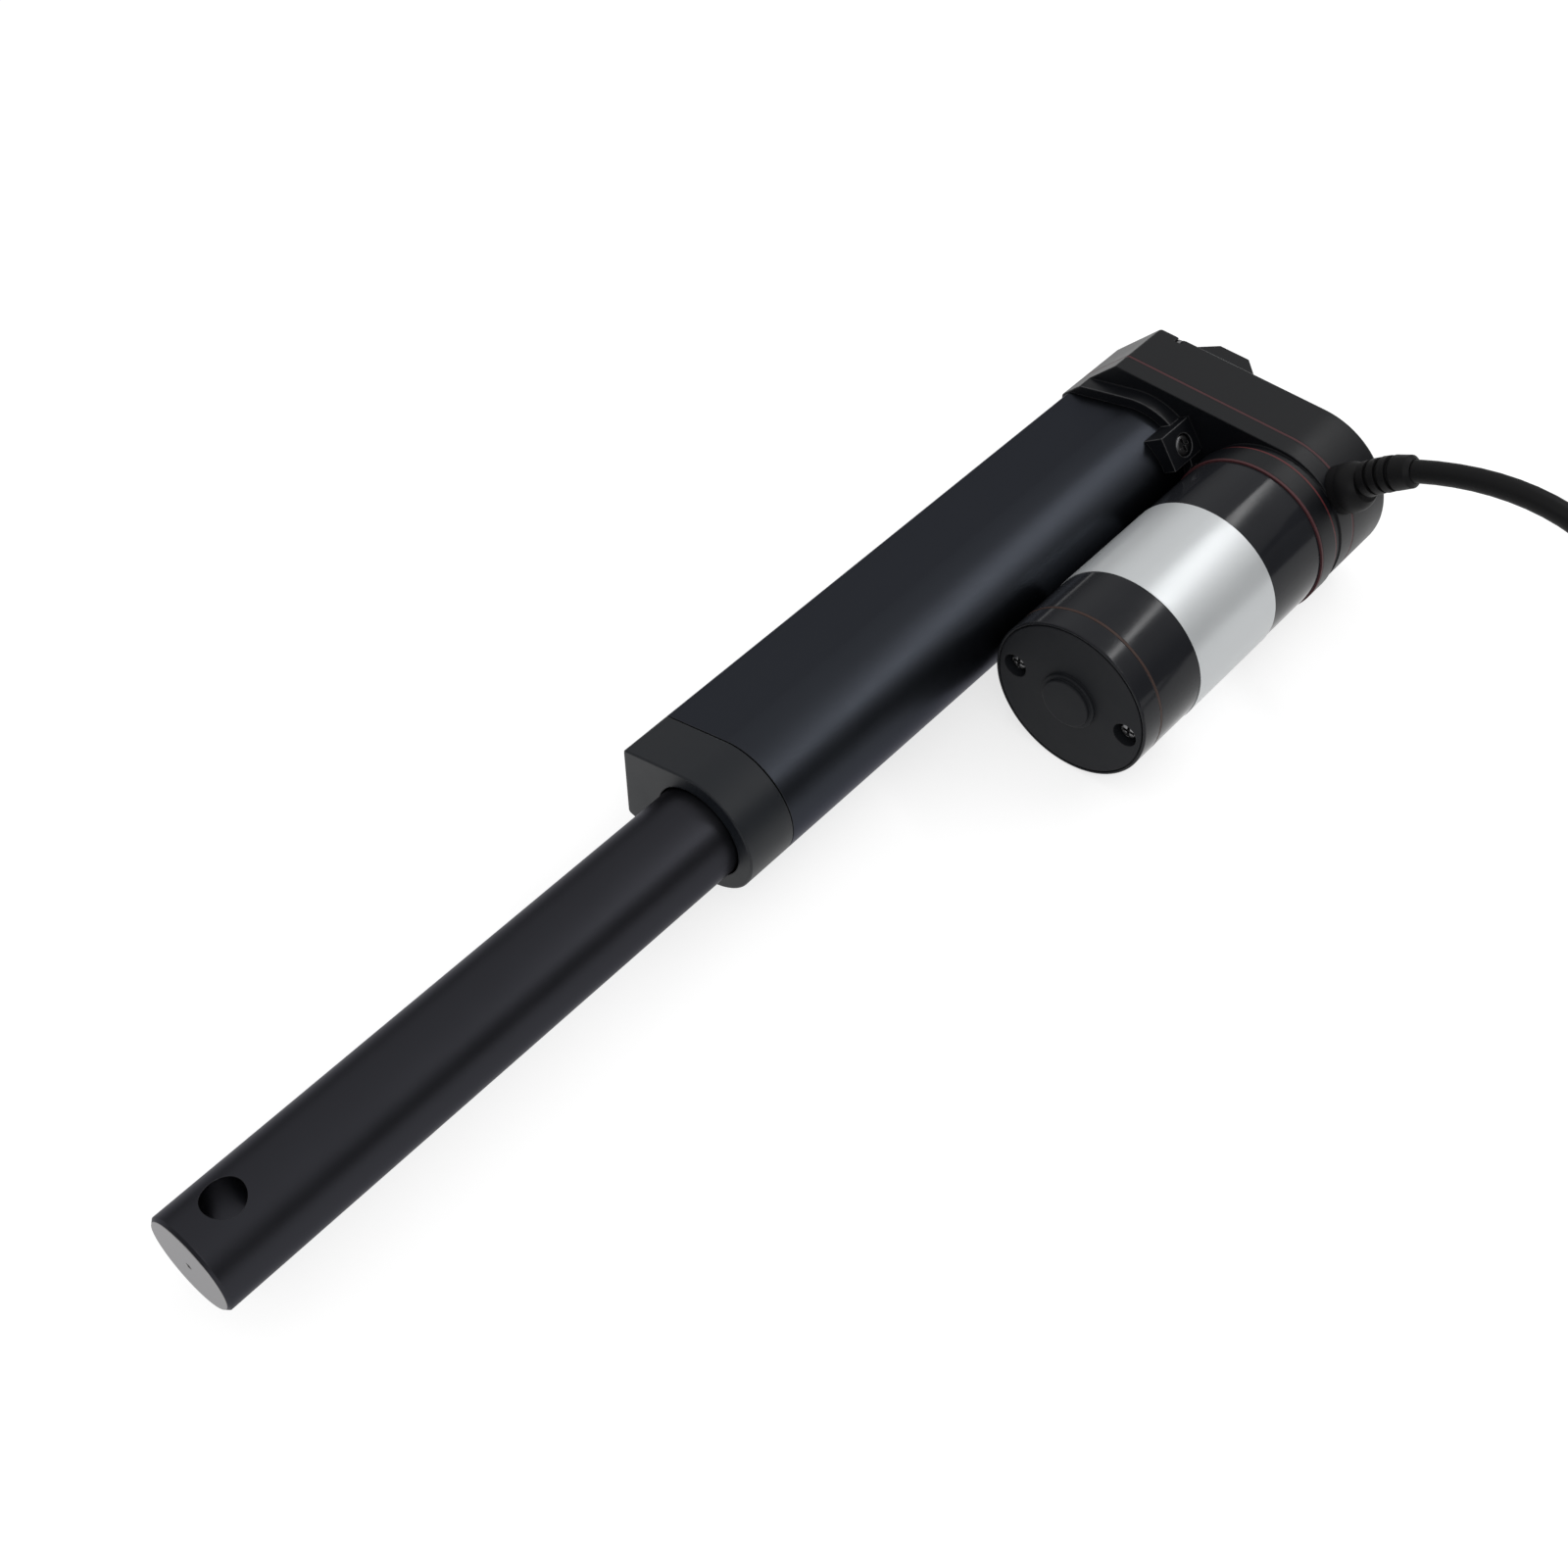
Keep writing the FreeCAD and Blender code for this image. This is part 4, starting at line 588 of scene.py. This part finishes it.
def growMesh(name, source, tree, values):
    # runs a tree on a mesh and gives the result as a plain mesh
    holder = bpy.data.objects.new(name, source)
    scene.collection.objects.link(holder)
    modifier = holder.modifiers.new(name, "NODES")
    modifier.node_group = tree
    for item in tree.interface.items_tree:
        if item.item_type == "SOCKET" and item.in_out == "INPUT" and item.name in values:
            modifier[item.identifier] = values[item.name]
    held = bpy.context.evaluated_depsgraph_get()
    mesh = bpy.data.meshes.new_from_object(holder.evaluated_get(held))
    holder.modifiers.remove(modifier)
    bpy.data.objects.remove(holder)
    return mesh


def vectorOf(tree, x=0.0, y=0.0, z=0.0):
    return addNode(tree, "ShaderNodeCombineXYZ", {0: x, 1: y, 2: z}).outputs[0]


def circleOf(tree, radius, sides):
    sizes = {"Resolution": sides, "Radius": radius}
    return addNode(tree, "GeometryNodeCurvePrimitiveCircle", sizes).outputs[0]


def rectangleOf(tree, width, height):
    sizes = {"Width": width, "Height": height}
    return addNode(tree, "GeometryNodeCurvePrimitiveQuadrilateral", sizes).outputs[0]


def lineOf(tree, low, high):
    ends = {"Start": vectorOf(tree, z=low), "End": vectorOf(tree, z=high)}
    return addNode(tree, "GeometryNodeCurvePrimitiveLine", ends).outputs[0]


def helixOf(tree, radius, length, turns, steps):
    sizes = {
        "Resolution": steps, "Rotations": turns,
        "Start Radius": radius, "End Radius": radius, "Height": length,
    }
    return addNode(tree, "GeometryNodeCurveSpiral", sizes).outputs[0]


def roundedOf(tree, outline, radius, steps, limit):
    sizes = {"Curve": outline, "Radius": radius, "Count": steps, "Limit Radius": limit}
    return addNode(tree, "GeometryNodeFilletCurve", sizes, mode="POLY").outputs[0]


def movedBy(tree, geometry, way):
    return addNode(tree, "GeometryNodeTransform", {"Geometry": geometry, "Translation": way}).outputs[0]


def upright(tree, path):
    return addNode(tree, "GeometryNodeSetCurveNormal", {"Curve": path}, mode="Z_UP").outputs[0]


def sweep(tree, path, outline, scale=1.0):
    return addNode(tree, "GeometryNodeCurveToMesh", {
        "Curve": path, "Profile Curve": outline, "Scale": scale, "Fill Caps": True}).outputs[0]


def taperedBar(tree, low, high, stations, outline, widths):
    # a bar along Z whose width follows the points: share of its length, share of the outline
    path = addNode(tree, "GeometryNodeResampleCurve", {"Curve": lineOf(tree, low, high), "Count": stations})
    along = addNode(tree, "GeometryNodeSplineParameter").outputs["Factor"]
    scale = addNode(tree, "ShaderNodeFloatCurve", {"Value": along})
    points = scale.mapping.curves[0].points
    points[0].location = widths[0]
    points[1].location = widths[-1]
    for place in widths[1:-1]:
        points.new(*place)
    scale.mapping.update()
    return sweep(tree, path.outputs[0], outline, scale.outputs[0])


def joinAll(tree, parts):
    node = addNode(tree, "GeometryNodeJoinGeometry")
    for part in parts:
        tree.links.new(part, node.inputs[0])
    return node.outputs[0]


def endTree(tree, put, geometry, material):
    real = addNode(tree, "GeometryNodeRealizeInstances", {0: geometry}).outputs[0]
    shown = addNode(tree, "GeometryNodeSetMaterial", {"Geometry": real, "Material": material}).outputs[0]
    tree.links.new(shown, put[0])


# screws: the form that all of them have, then where the top of each head is and which way it faces
screwForm = {
    "crown": [(0.0, 0.96), (0.10, 1.0), (0.50, 1.0), (0.80, 0.93), (0.94, 0.82), (1.0, 0.70)],
    "headStations": 16,
    "headSides": 40,
    "shankSides": 24,
    "threadDepth": 0.55,    # share of the pitch
    "ridge": 0.42,          # share of the pitch, the radius of the thread's ridge
    "ridgeSides": 4,
    "threadSteps": 20,      # on each turn
}
motorAxis = 33.0            # along Y
lockPlace = {"station": 30.9, "out": 16.8, "across": 2.4, "lift": math.radians(36)}
throughPlace = {"station": 98.1, "out": 13.8, "tilt": math.radians(2.5)}


def lockTop(place):
    side, up = math.cos(place["lift"]), math.sin(place["lift"])
    out, across = place["out"], place["across"]
    return (place["station"], out * side - across * up, out * up + across * side)


def throughTop(place, side):
    out = side * place["out"]
    return (place["station"], motorAxis + out * math.cos(place["tilt"]), -out * math.sin(place["tilt"]))


screwSets = {
    "lockScrew": {
        "node": "lock_screw",
        "finish": "darkScrew",
        "tops": [lockTop(lockPlace)],
        "faces": (0, math.cos(lockPlace["lift"]), math.sin(lockPlace["lift"])),
        "sizes": {
            "Head Radius": 2.4, "Head Height": 1.4, "Shank Radius": 1.5, "Shank Length": 1.6,
            "Thread Length": 1.4, "Pitch": 0.5,
            "Recess Length": 3.1, "Recess Width": 0.7, "Recess Depth": 0.9,
        },
    },
    "motorScrews": {
        "node": "motor_through_screws",
        "finish": "zincScrew",
        "tops": [throughTop(throughPlace, side) for side in (-1, 1)],
        "faces": (1, 0, 0),
        "sizes": {
            "Head Radius": 2.1, "Head Height": 2.2, "Shank Radius": 1.4, "Shank Length": 64.6,
            "Thread Length": 8.0, "Pitch": 0.5,
            "Recess Length": 2.9, "Recess Width": 0.66, "Recess Depth": 1.2,
        },
    },
    "coverScrews": {
        "node": "cover_screws",
        "finish": "zincScrew",
        "tops": [(8.1, -4.8, 16.3), (8.1, -4.8, -16.3), (8.1, 36.5, 15.0), (8.1, 36.5, -15.0)],
        "faces": (-1, 0, 0),
        "sizes": {
            "Head Radius": 2.5, "Head Height": 2.1, "Shank Radius": 1.5, "Shank Length": 14.8,
            "Thread Length": 12.0, "Pitch": 0.5,
            "Recess Length": 3.2, "Recess Width": 0.7, "Recess Depth": 1.2,
        },
    },
}


def makeScrewTree(form, sizes):
    # a pan-headed screw with a cross recess, set at each point along the point's axis
    tree, given, put = newShapeTree("crossScrew", sizes)
    low = mathNode(tree, "MULTIPLY", given["Head Height"], -1.0)
    tip = mathNode(tree, "SUBTRACT", low, given["Shank Length"])

    rim = circleOf(tree, given["Head Radius"], form["headSides"])
    head = taperedBar(tree, low, 0.0, form["headStations"], rim, form["crown"])
    long, wide = given["Recess Length"], given["Recess Width"]
    deep = mathNode(tree, "MULTIPLY", given["Recess Depth"], 2.0)       # half of it is above the head
    cut = addNode(tree, "GeometryNodeMeshBoolean", {"Mesh 1": head}, operation="DIFFERENCE", solver="EXACT")
    for size in ((long, wide), (wide, long)):
        slot = addNode(tree, "GeometryNodeMeshCube", {"Size": vectorOf(tree, *size, deep)})
        tree.links.new(slot.outputs[0], cut.inputs["Mesh 2"])

    depth = mathNode(tree, "MULTIPLY", given["Pitch"], form["threadDepth"])
    root = mathNode(tree, "SUBTRACT", given["Shank Radius"], depth)
    shank = sweep(tree, lineOf(tree, tip, low), circleOf(tree, root, form["shankSides"]))
    turns = mathNode(tree, "DIVIDE", given["Thread Length"], given["Pitch"])
    ridge = mathNode(tree, "MULTIPLY", given["Pitch"], form["ridge"])
    middle = mathNode(tree, "SUBTRACT", given["Shank Radius"], ridge)
    helix = helixOf(tree, middle, given["Thread Length"], turns, form["threadSteps"])
    raised = movedBy(tree, helix, vectorOf(tree, z=tip))
    thread = sweep(tree, raised, circleOf(tree, ridge, form["ridgeSides"]))

    axis = addNode(tree, "GeometryNodeInputNamedAttribute", {"Name": "axis"}, data_type="FLOAT_VECTOR")
    turned = addNode(tree, "FunctionNodeAlignRotationToVector", {"Vector": axis.outputs[0]}, axis="Z")
    placed = addNode(tree, "GeometryNodeInstanceOnPoints", {
        "Points": given["Geometry"], "Instance": joinAll(tree, [cut.outputs[0], shank, thread]),
        "Rotation": turned.outputs[0]})
    endTree(tree, put, placed.outputs[0], given["Finish"])
    return tree


def makeScrews(name, setup):
    spots = bpy.data.meshes.new(name + "Spots")
    spots.from_pydata([Vector(top) * mm for top in setup["tops"]], [], [])
    axis = spots.attributes.new("axis", "FLOAT_VECTOR", "POINT")
    for item in axis.data:
        item.vector = setup["faces"]
    mesh = growMesh(name, spots, screwTree, sizeValues(setup["sizes"], setup["finish"]))
    smoothByAngle(mesh)
    piece = linkPiece(name, mesh, "actuator_body")
    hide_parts(setup["node"])


screwTree = makeScrewTree(screwForm, screwSets["coverScrews"]["sizes"])
for name, setup in screwSets.items():
    makeScrews(name, setup)
print("screws driven:", len(screwSets), "sets")


# motor end cap: a turned disc with a rim line, a stepped boss and two sunk holes for the screw heads
endCapShape = {
    "section": [
        (94.0, 3.5), (97.5, 3.5), (97.5, 0), (101.0, 0), (101.0, 5.25), (101.0, 5.35), (100.93, 5.53),
        (100.75, 5.6), (100.65, 5.6), (100.2, 5.6), (100.2, 6.15), (100.2, 6.25), (100.13, 6.43),
        (99.95, 6.5), (99.85, 6.5), (99.4, 6.5), (99.4, 17.55), (99.35, 17.6), (98.9, 17.6), (98.9, 17.95),
        (99.32, 17.95), (99.4, 18.03), (99.4, 18.2), (99.31, 18.41), (99.1, 18.5), (98.98, 18.5),
        (94.1, 18.5), (94.0, 18.4), (94.0, 3.5),
    ],
    "sides": 160,
    "smooth": 32,           # degrees
    "rim": 17.9,            # outside this radius the cap is painted as the can is
    "holes": {
        "radius": 2.75, "seat": 95.9, "length": 20.0, "sides": 48, "tops": screwSets["motorScrews"]["tops"],
    },
}


def drillHoles(mesh, holes):
    # a round hole from the seat out through the front at each screw's place
    made = bmesh.new()
    turn = Matrix.Rotation(math.pi / 2, 4, "Y")
    radius = holes["radius"] * mm
    for _, across, up in holes["tops"]:
        spot = Vector((holes["seat"] + holes["length"] / 2, across, up)) * mm
        bmesh.ops.create_cone(
            made, cap_ends=True, segments=holes["sides"], radius1=radius, radius2=radius,
            depth=holes["length"] * mm, matrix=Matrix.Translation(spot) @ turn)
    drills = bpy.data.meshes.new("headDrills")
    made.to_mesh(drills)
    made.free()
    cutter = bpy.data.objects.new("headDrills", drills)
    blank = bpy.data.objects.new("endCapBlank", mesh)
    for item in (cutter, blank):
        scene.collection.objects.link(item)
    cut = blank.modifiers.new("holes", "BOOLEAN")
    cut.operation = "DIFFERENCE"
    cut.solver = "EXACT"
    cut.object = cutter
    held = bpy.context.evaluated_depsgraph_get()
    drilled = bpy.data.meshes.new_from_object(blank.evaluated_get(held))
    for item in (cutter, blank):
        bpy.data.objects.remove(item)
    return drilled


def makeEndCap(shape):
    blank = lathe(shape["section"], shape["sides"])
    blank.transform(Matrix.Translation((0, motorAxis * mm, 0)))
    mesh = drillHoles(blank, shape["holes"])
    smoothByAngle(mesh, shape["smooth"])
    mesh.materials.clear()
    mesh.materials.append(finish["mattEnd"])
    mesh.materials.append(finish["motorPaint"])
    for face in mesh.polygons:
        out = math.hypot(face.center.y - motorAxis * mm, face.center.z)
        face.material_index = 1 if out > shape["rim"] * mm else 0
    piece = linkPiece("motorEndCap", mesh, "actuator_body")
    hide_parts("motor_end_cap")


makeEndCap(endCapShape)
print("end cap turned")


# boss on the rear cover round the lead screw's rear bearing, where it meets the pivot block
bossShape = {
    "section": [
        (7.9, 8.02), (7.9, 8.45), (5.5, 8.45), (5.35, 8.43), (5.05, 8.13), (4.95, 7.95), (4.95, 7.0),
        (5.25, 7.0), (5.25, 8.02), (7.9, 8.02),
    ],
    "sides": 96,
    "smooth": 50,           # degrees
}


def makeBoss(shape):
    mesh = lathe(shape["section"], shape["sides"])
    smoothByAngle(mesh, shape["smooth"])
    mesh.materials.append(finish["mouldedCase"])
    linkPiece("bearingBoss", mesh, "actuator_body")


makeBoss(bossShape)
print("bearing boss turned")


# lead screw: a two-start trapezoidal thread on a turned core
leadScrewShape = {
    "core": [
        (5.5, 0), (5.5, 3.5), (6.0, 4.0), (29.9, 4.0), (29.9, 7.0), (33.0, 7.0), (33.0, 3.7),
        (156.2, 3.7), (157.0, 3.0), (157.0, 0),
    ],
    "coreSides": 48,
    "threadFrom": 34.0,
    "starts": 2,
    "threadSteps": 28,      # on each turn
    "sizes": {
        "Length": 122.0, "Lead": 4.0, "Outer Radius": 5.0, "Depth": 1.25,
        "Crest Width": 0.73, "Root Width": 1.30,
    },
}


def makeThreadTree(shape):
    tree, given, put = newShapeTree("leadThread", shape["sizes"])
    turns = mathNode(tree, "DIVIDE", given["Length"], given["Lead"])
    half = mathNode(tree, "MULTIPLY", given["Depth"], 0.5)
    middle = mathNode(tree, "SUBTRACT", given["Outer Radius"], half)
    helix = helixOf(tree, middle, given["Length"], turns, shape["threadSteps"])
    ridge = addNode(tree, "GeometryNodeCurvePrimitiveQuadrilateral", {
        "Height": given["Depth"], "Bottom Width": given["Root Width"], "Top Width": given["Crest Width"],
        "Offset": 0.0}, mode="TRAPEZOID")
    outwards = (0, 0, math.radians(90))
    turned = addNode(tree, "GeometryNodeTransform", {"Geometry": ridge.outputs[0], "Rotation": outwards})
    endTree(tree, put, sweep(tree, upright(tree, helix), turned.outputs[0]), given["Finish"])
    return tree


def makeLeadScrew(shape):
    values = sizeValues(shape["sizes"], "groundSteel")
    ridge = growMesh("leadThread", bpy.data.meshes.new("threadStart"), makeThreadTree(shape), values)
    begin = shape["threadFrom"] * mm
    lay = turnTo((0, 1, 0), (0, 0, 1), (1, 0, 0))       # the helix's own axis, Z, onto X
    parts = [lathe(shape["core"], shape["coreSides"])]
    for start in range(shape["starts"]):
        copy = ridge.copy()
        turn = Matrix.Rotation(2 * math.pi * start / shape["starts"], 4, "Z")
        copy.transform(Matrix.Translation((begin, 0, 0)) @ lay @ turn)
        parts.append(copy)
    mesh = joinMeshes("leadScrew", parts)
    mesh.materials.append(finish["groundSteel"])
    smoothByAngle(mesh)
    piece = linkPiece("leadScrew", mesh, "lead_screw")
    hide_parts("lead_screw")
    reach = max(math.hypot(spot.co.y, spot.co.z) for spot in mesh.vertices if spot.co.x > begin)
    print("lead screw cut, outside radius", round(reach / mm, 2), "mm,", len(mesh.polygons), "faces")


makeLeadScrew(leadScrewShape)


# cable tie round the coil
tieShape = {
    "angle": 0.9,                   # round the coil's middle, in radians
    "middle": (29.5, -13.6),        # distance from the coil's middle, and height
    "sizes": {                      # the band bites a little into the lowest turns
        "Inside Width": 10.3, "Inside Height": 9.2, "Corner": 2.6, "Band": 4.0, "Thickness": 0.8, "Tail": 7.0,
    },
    "cornerSteps": 8,
    "head": (4.6, 3.2, 5.4),
    "headWidths": [(0.0, 0.84), (0.09, 1.0), (0.91, 1.0), (1.0, 0.84)],
    "headStations": 12,
    "headCorner": 0.3,              # share of the head's height
    "headCornerSteps": 5,
    "tailBend": 0.6,                # shares of the tail's length
    "tailDroop": 0.22,
    "tailSteps": 12,
}


def makeTieTree(shape):
    headSize = tuple(part * mm for part in shape["head"])
    tree, given, put = newShapeTree("cableTie", shape["sizes"], [("Head", "NodeSocketVector", headSize)])
    wide = mathNode(tree, "ADD", given["Inside Width"], given["Thickness"])
    high = mathNode(tree, "ADD", given["Inside Height"], given["Thickness"])
    loop = roundedOf(tree, rectangleOf(tree, wide, high), given["Corner"], shape["cornerSteps"], True)
    strip = rectangleOf(tree, given["Thickness"], given["Band"])
    band = sweep(tree, loop, strip)

    top = mathNode(tree, "MULTIPLY", high, 0.5)
    size = addNode(tree, "ShaderNodeSeparateXYZ", {0: given["Head"]}).outputs
    corner = mathNode(tree, "MULTIPLY", size["Y"], shape["headCorner"])
    front = roundedOf(tree, rectangleOf(tree, size["X"], size["Y"]), corner, shape["headCornerSteps"], False)
    reach = mathNode(tree, "MULTIPLY", size["Z"], 0.5)
    back = mathNode(tree, "MULTIPLY", reach, -1.0)
    block = taperedBar(tree, back, reach, shape["headStations"], front, shape["headWidths"])
    head = movedBy(tree, block, vectorOf(tree, y=top))

    lift = mathNode(tree, "ADD", top, given["Thickness"])
    bend = mathNode(tree, "MULTIPLY", given["Tail"], shape["tailBend"])
    droop = mathNode(tree, "MULTIPLY", given["Tail"], shape["tailDroop"])
    low = mathNode(tree, "SUBTRACT", lift, droop)
    path = addNode(tree, "GeometryNodeCurveQuadraticBezier", {
        "Resolution": shape["tailSteps"], "Start": vectorOf(tree, y=lift),
        "Middle": vectorOf(tree, bend, lift), "End": vectorOf(tree, given["Tail"], low)})
    tail = sweep(tree, upright(tree, path.outputs[0]), strip)
    endTree(tree, put, joinAll(tree, [band, head, tail]), given["Finish"])
    return tree


def makeTie(shape, cord):
    values = sizeValues(shape["sizes"], "tieNylon")
    values["Head"] = [part * mm for part in shape["head"]]
    mesh = growMesh("coilTie", bpy.data.meshes.new("tieStart"), makeTieTree(shape), values)
    distance, height = shape["middle"]
    out = Vector((math.cos(shape["angle"]), math.sin(shape["angle"]), 0))
    up = Vector((0, 0, 1))
    place = Vector(coilPlace(cord, shape["angle"], distance, height)) * mm
    mesh.transform(Matrix.Translation(place) @ turnTo(out, up, out.cross(up)))
    smoothByAngle(mesh)
    return linkPiece("coilTie", mesh, "actuator_body")


coilTie = makeTie(tieShape, cordShape)
print("coil tied")


# floor, world and lamps
studio = {
    "floorSize": 6.0,
    "floorColour": (0.85, 0.85, 0.85),
    "floorRoughness": 0.9,
    "floorShade": 0.42,             # how much of the light on the floor shows, so that it keeps a shadow
    "floorGlow": 0.71,              # the rest of its white, for the camera and for reflections only
    "backdrop": 1.0,                # white behind the object, for the camera only
    "aboveStrength": 0.82,
    "aroundStrength": 0.12,
    "brightSide": (0.0, -0.12, 0.993),      # the ceiling's light leans towards the far side of the tube
    "around": (0.12, 0.62),         # how far along that way the room starts and ends to grow bright
    "lamps": [
        {"name": "strip", "place": (-0.385, 0.29, 0.60), "aim": (0.10, 0.02, 0.0), "along": (0.37, 0.93, 0.0),
         "size": (0.80, 0.036), "power": 1.4},
        {"name": "fill", "place": (0.75, 0.50, 0.75), "aim": (0.12, 0.02, 0.0), "along": (-0.66, 0.75, 0.0),
         "size": (0.60, 0.45), "power": 1.8},
    ],
}


def addFloor(setup):
    lowest = cadBox[0][2]
    half = setup["floorSize"] / 2
    mesh = bpy.data.meshes.new("floor")
    corners = [(-half, -half, lowest), (half, -half, lowest), (half, half, lowest), (-half, half, lowest)]
    mesh.from_pydata(corners, [], [(0, 1, 2, 3)])
    floor = bpy.data.objects.new("floor", mesh)
    scene.collection.objects.link(floor)
    material = bpy.data.materials.new("paleFloor")
    material.use_nodes = True
    tree = material.node_tree
    shader = tree.nodes["Principled BSDF"]
    shader.inputs["Base Color"].default_value = (*setup["floorColour"], 1)
    shader.inputs["Roughness"].default_value = setup["floorRoughness"]
    shade = setup["floorShade"]
    lit = addNode(tree, "ShaderNodeBsdfDiffuse", {"Color": (shade, shade, shade, 1)})
    glow = addNode(tree, "ShaderNodeEmission", {"Color": (1, 1, 1, 1), "Strength": setup["floorGlow"]})
    shown = addNode(tree, "ShaderNodeAddShader", {0: lit.outputs[0], 1: glow.outputs[0]})
    path = addNode(tree, "ShaderNodeLightPath").outputs
    seen = mathNode(tree, "MAXIMUM", path["Is Camera Ray"], path["Is Glossy Ray"])
    seen = mathNode(tree, "MAXIMUM", seen, path["Is Transmission Ray"])
    mixed = addNode(tree, "ShaderNodeMixShader", {0: seen, 1: shader.outputs[0], 2: shown.outputs[0]})
    tree.links.new(mixed.outputs[0], tree.nodes["Material Output"].inputs["Surface"])
    mesh.materials.append(material)


def addRoom(setup):
    # bright above and dim around, with a white backdrop for the camera
    world = bpy.data.worlds.new("studio")
    scene.world = world
    world.use_nodes = True
    tree = world.node_tree
    tree.nodes.clear()
    output = addNode(tree, "ShaderNodeOutputWorld")
    way = addNode(tree, "ShaderNodeTexCoord").outputs["Generated"]
    low, high = setup["around"]
    level = addNode(tree, "ShaderNodeMapRange", {
        "Value": vectorMath(tree, "DOT_PRODUCT", way, setup["brightSide"], "Value"),
        "From Min": low, "From Max": high,
        "To Min": setup["aroundStrength"], "To Max": setup["aboveStrength"]}, interpolation_type="SMOOTHSTEP")
    light = addNode(tree, "ShaderNodeBackground", {"Color": (1, 1, 1, 1), "Strength": level.outputs[0]})
    shown = addNode(tree, "ShaderNodeBackground", {"Color": (1, 1, 1, 1), "Strength": setup["backdrop"]})
    path = addNode(tree, "ShaderNodeLightPath").outputs
    seen = mathNode(tree, "MAXIMUM", path["Is Camera Ray"], path["Is Transmission Ray"])
    mixed = addNode(tree, "ShaderNodeMixShader", {0: seen, 1: light.outputs[0], 2: shown.outputs[0]})
    tree.links.new(mixed.outputs[0], output.inputs["Surface"])


def addLamp(lamp):
    data = bpy.data.lights.new(lamp["name"], "AREA")
    data.shape = "RECTANGLE"
    data.size, data.size_y = lamp["size"]
    data.energy = lamp["power"]
    item = bpy.data.objects.new(lamp["name"], data)
    back = (Vector(lamp["place"]) - Vector(lamp["aim"])).normalized()
    along = Vector(lamp["along"])
    along = (along - back * along.dot(back)).normalized()
    item.matrix_world = Matrix.Translation(lamp["place"]) @ turnTo(along, back.cross(along), back)
    scene.collection.objects.link(item)


addFloor(studio)
addRoom(studio)
for lamp in studio["lamps"]:
    addLamp(lamp)
scene.view_settings.view_transform = "Standard"
print("studio lit")
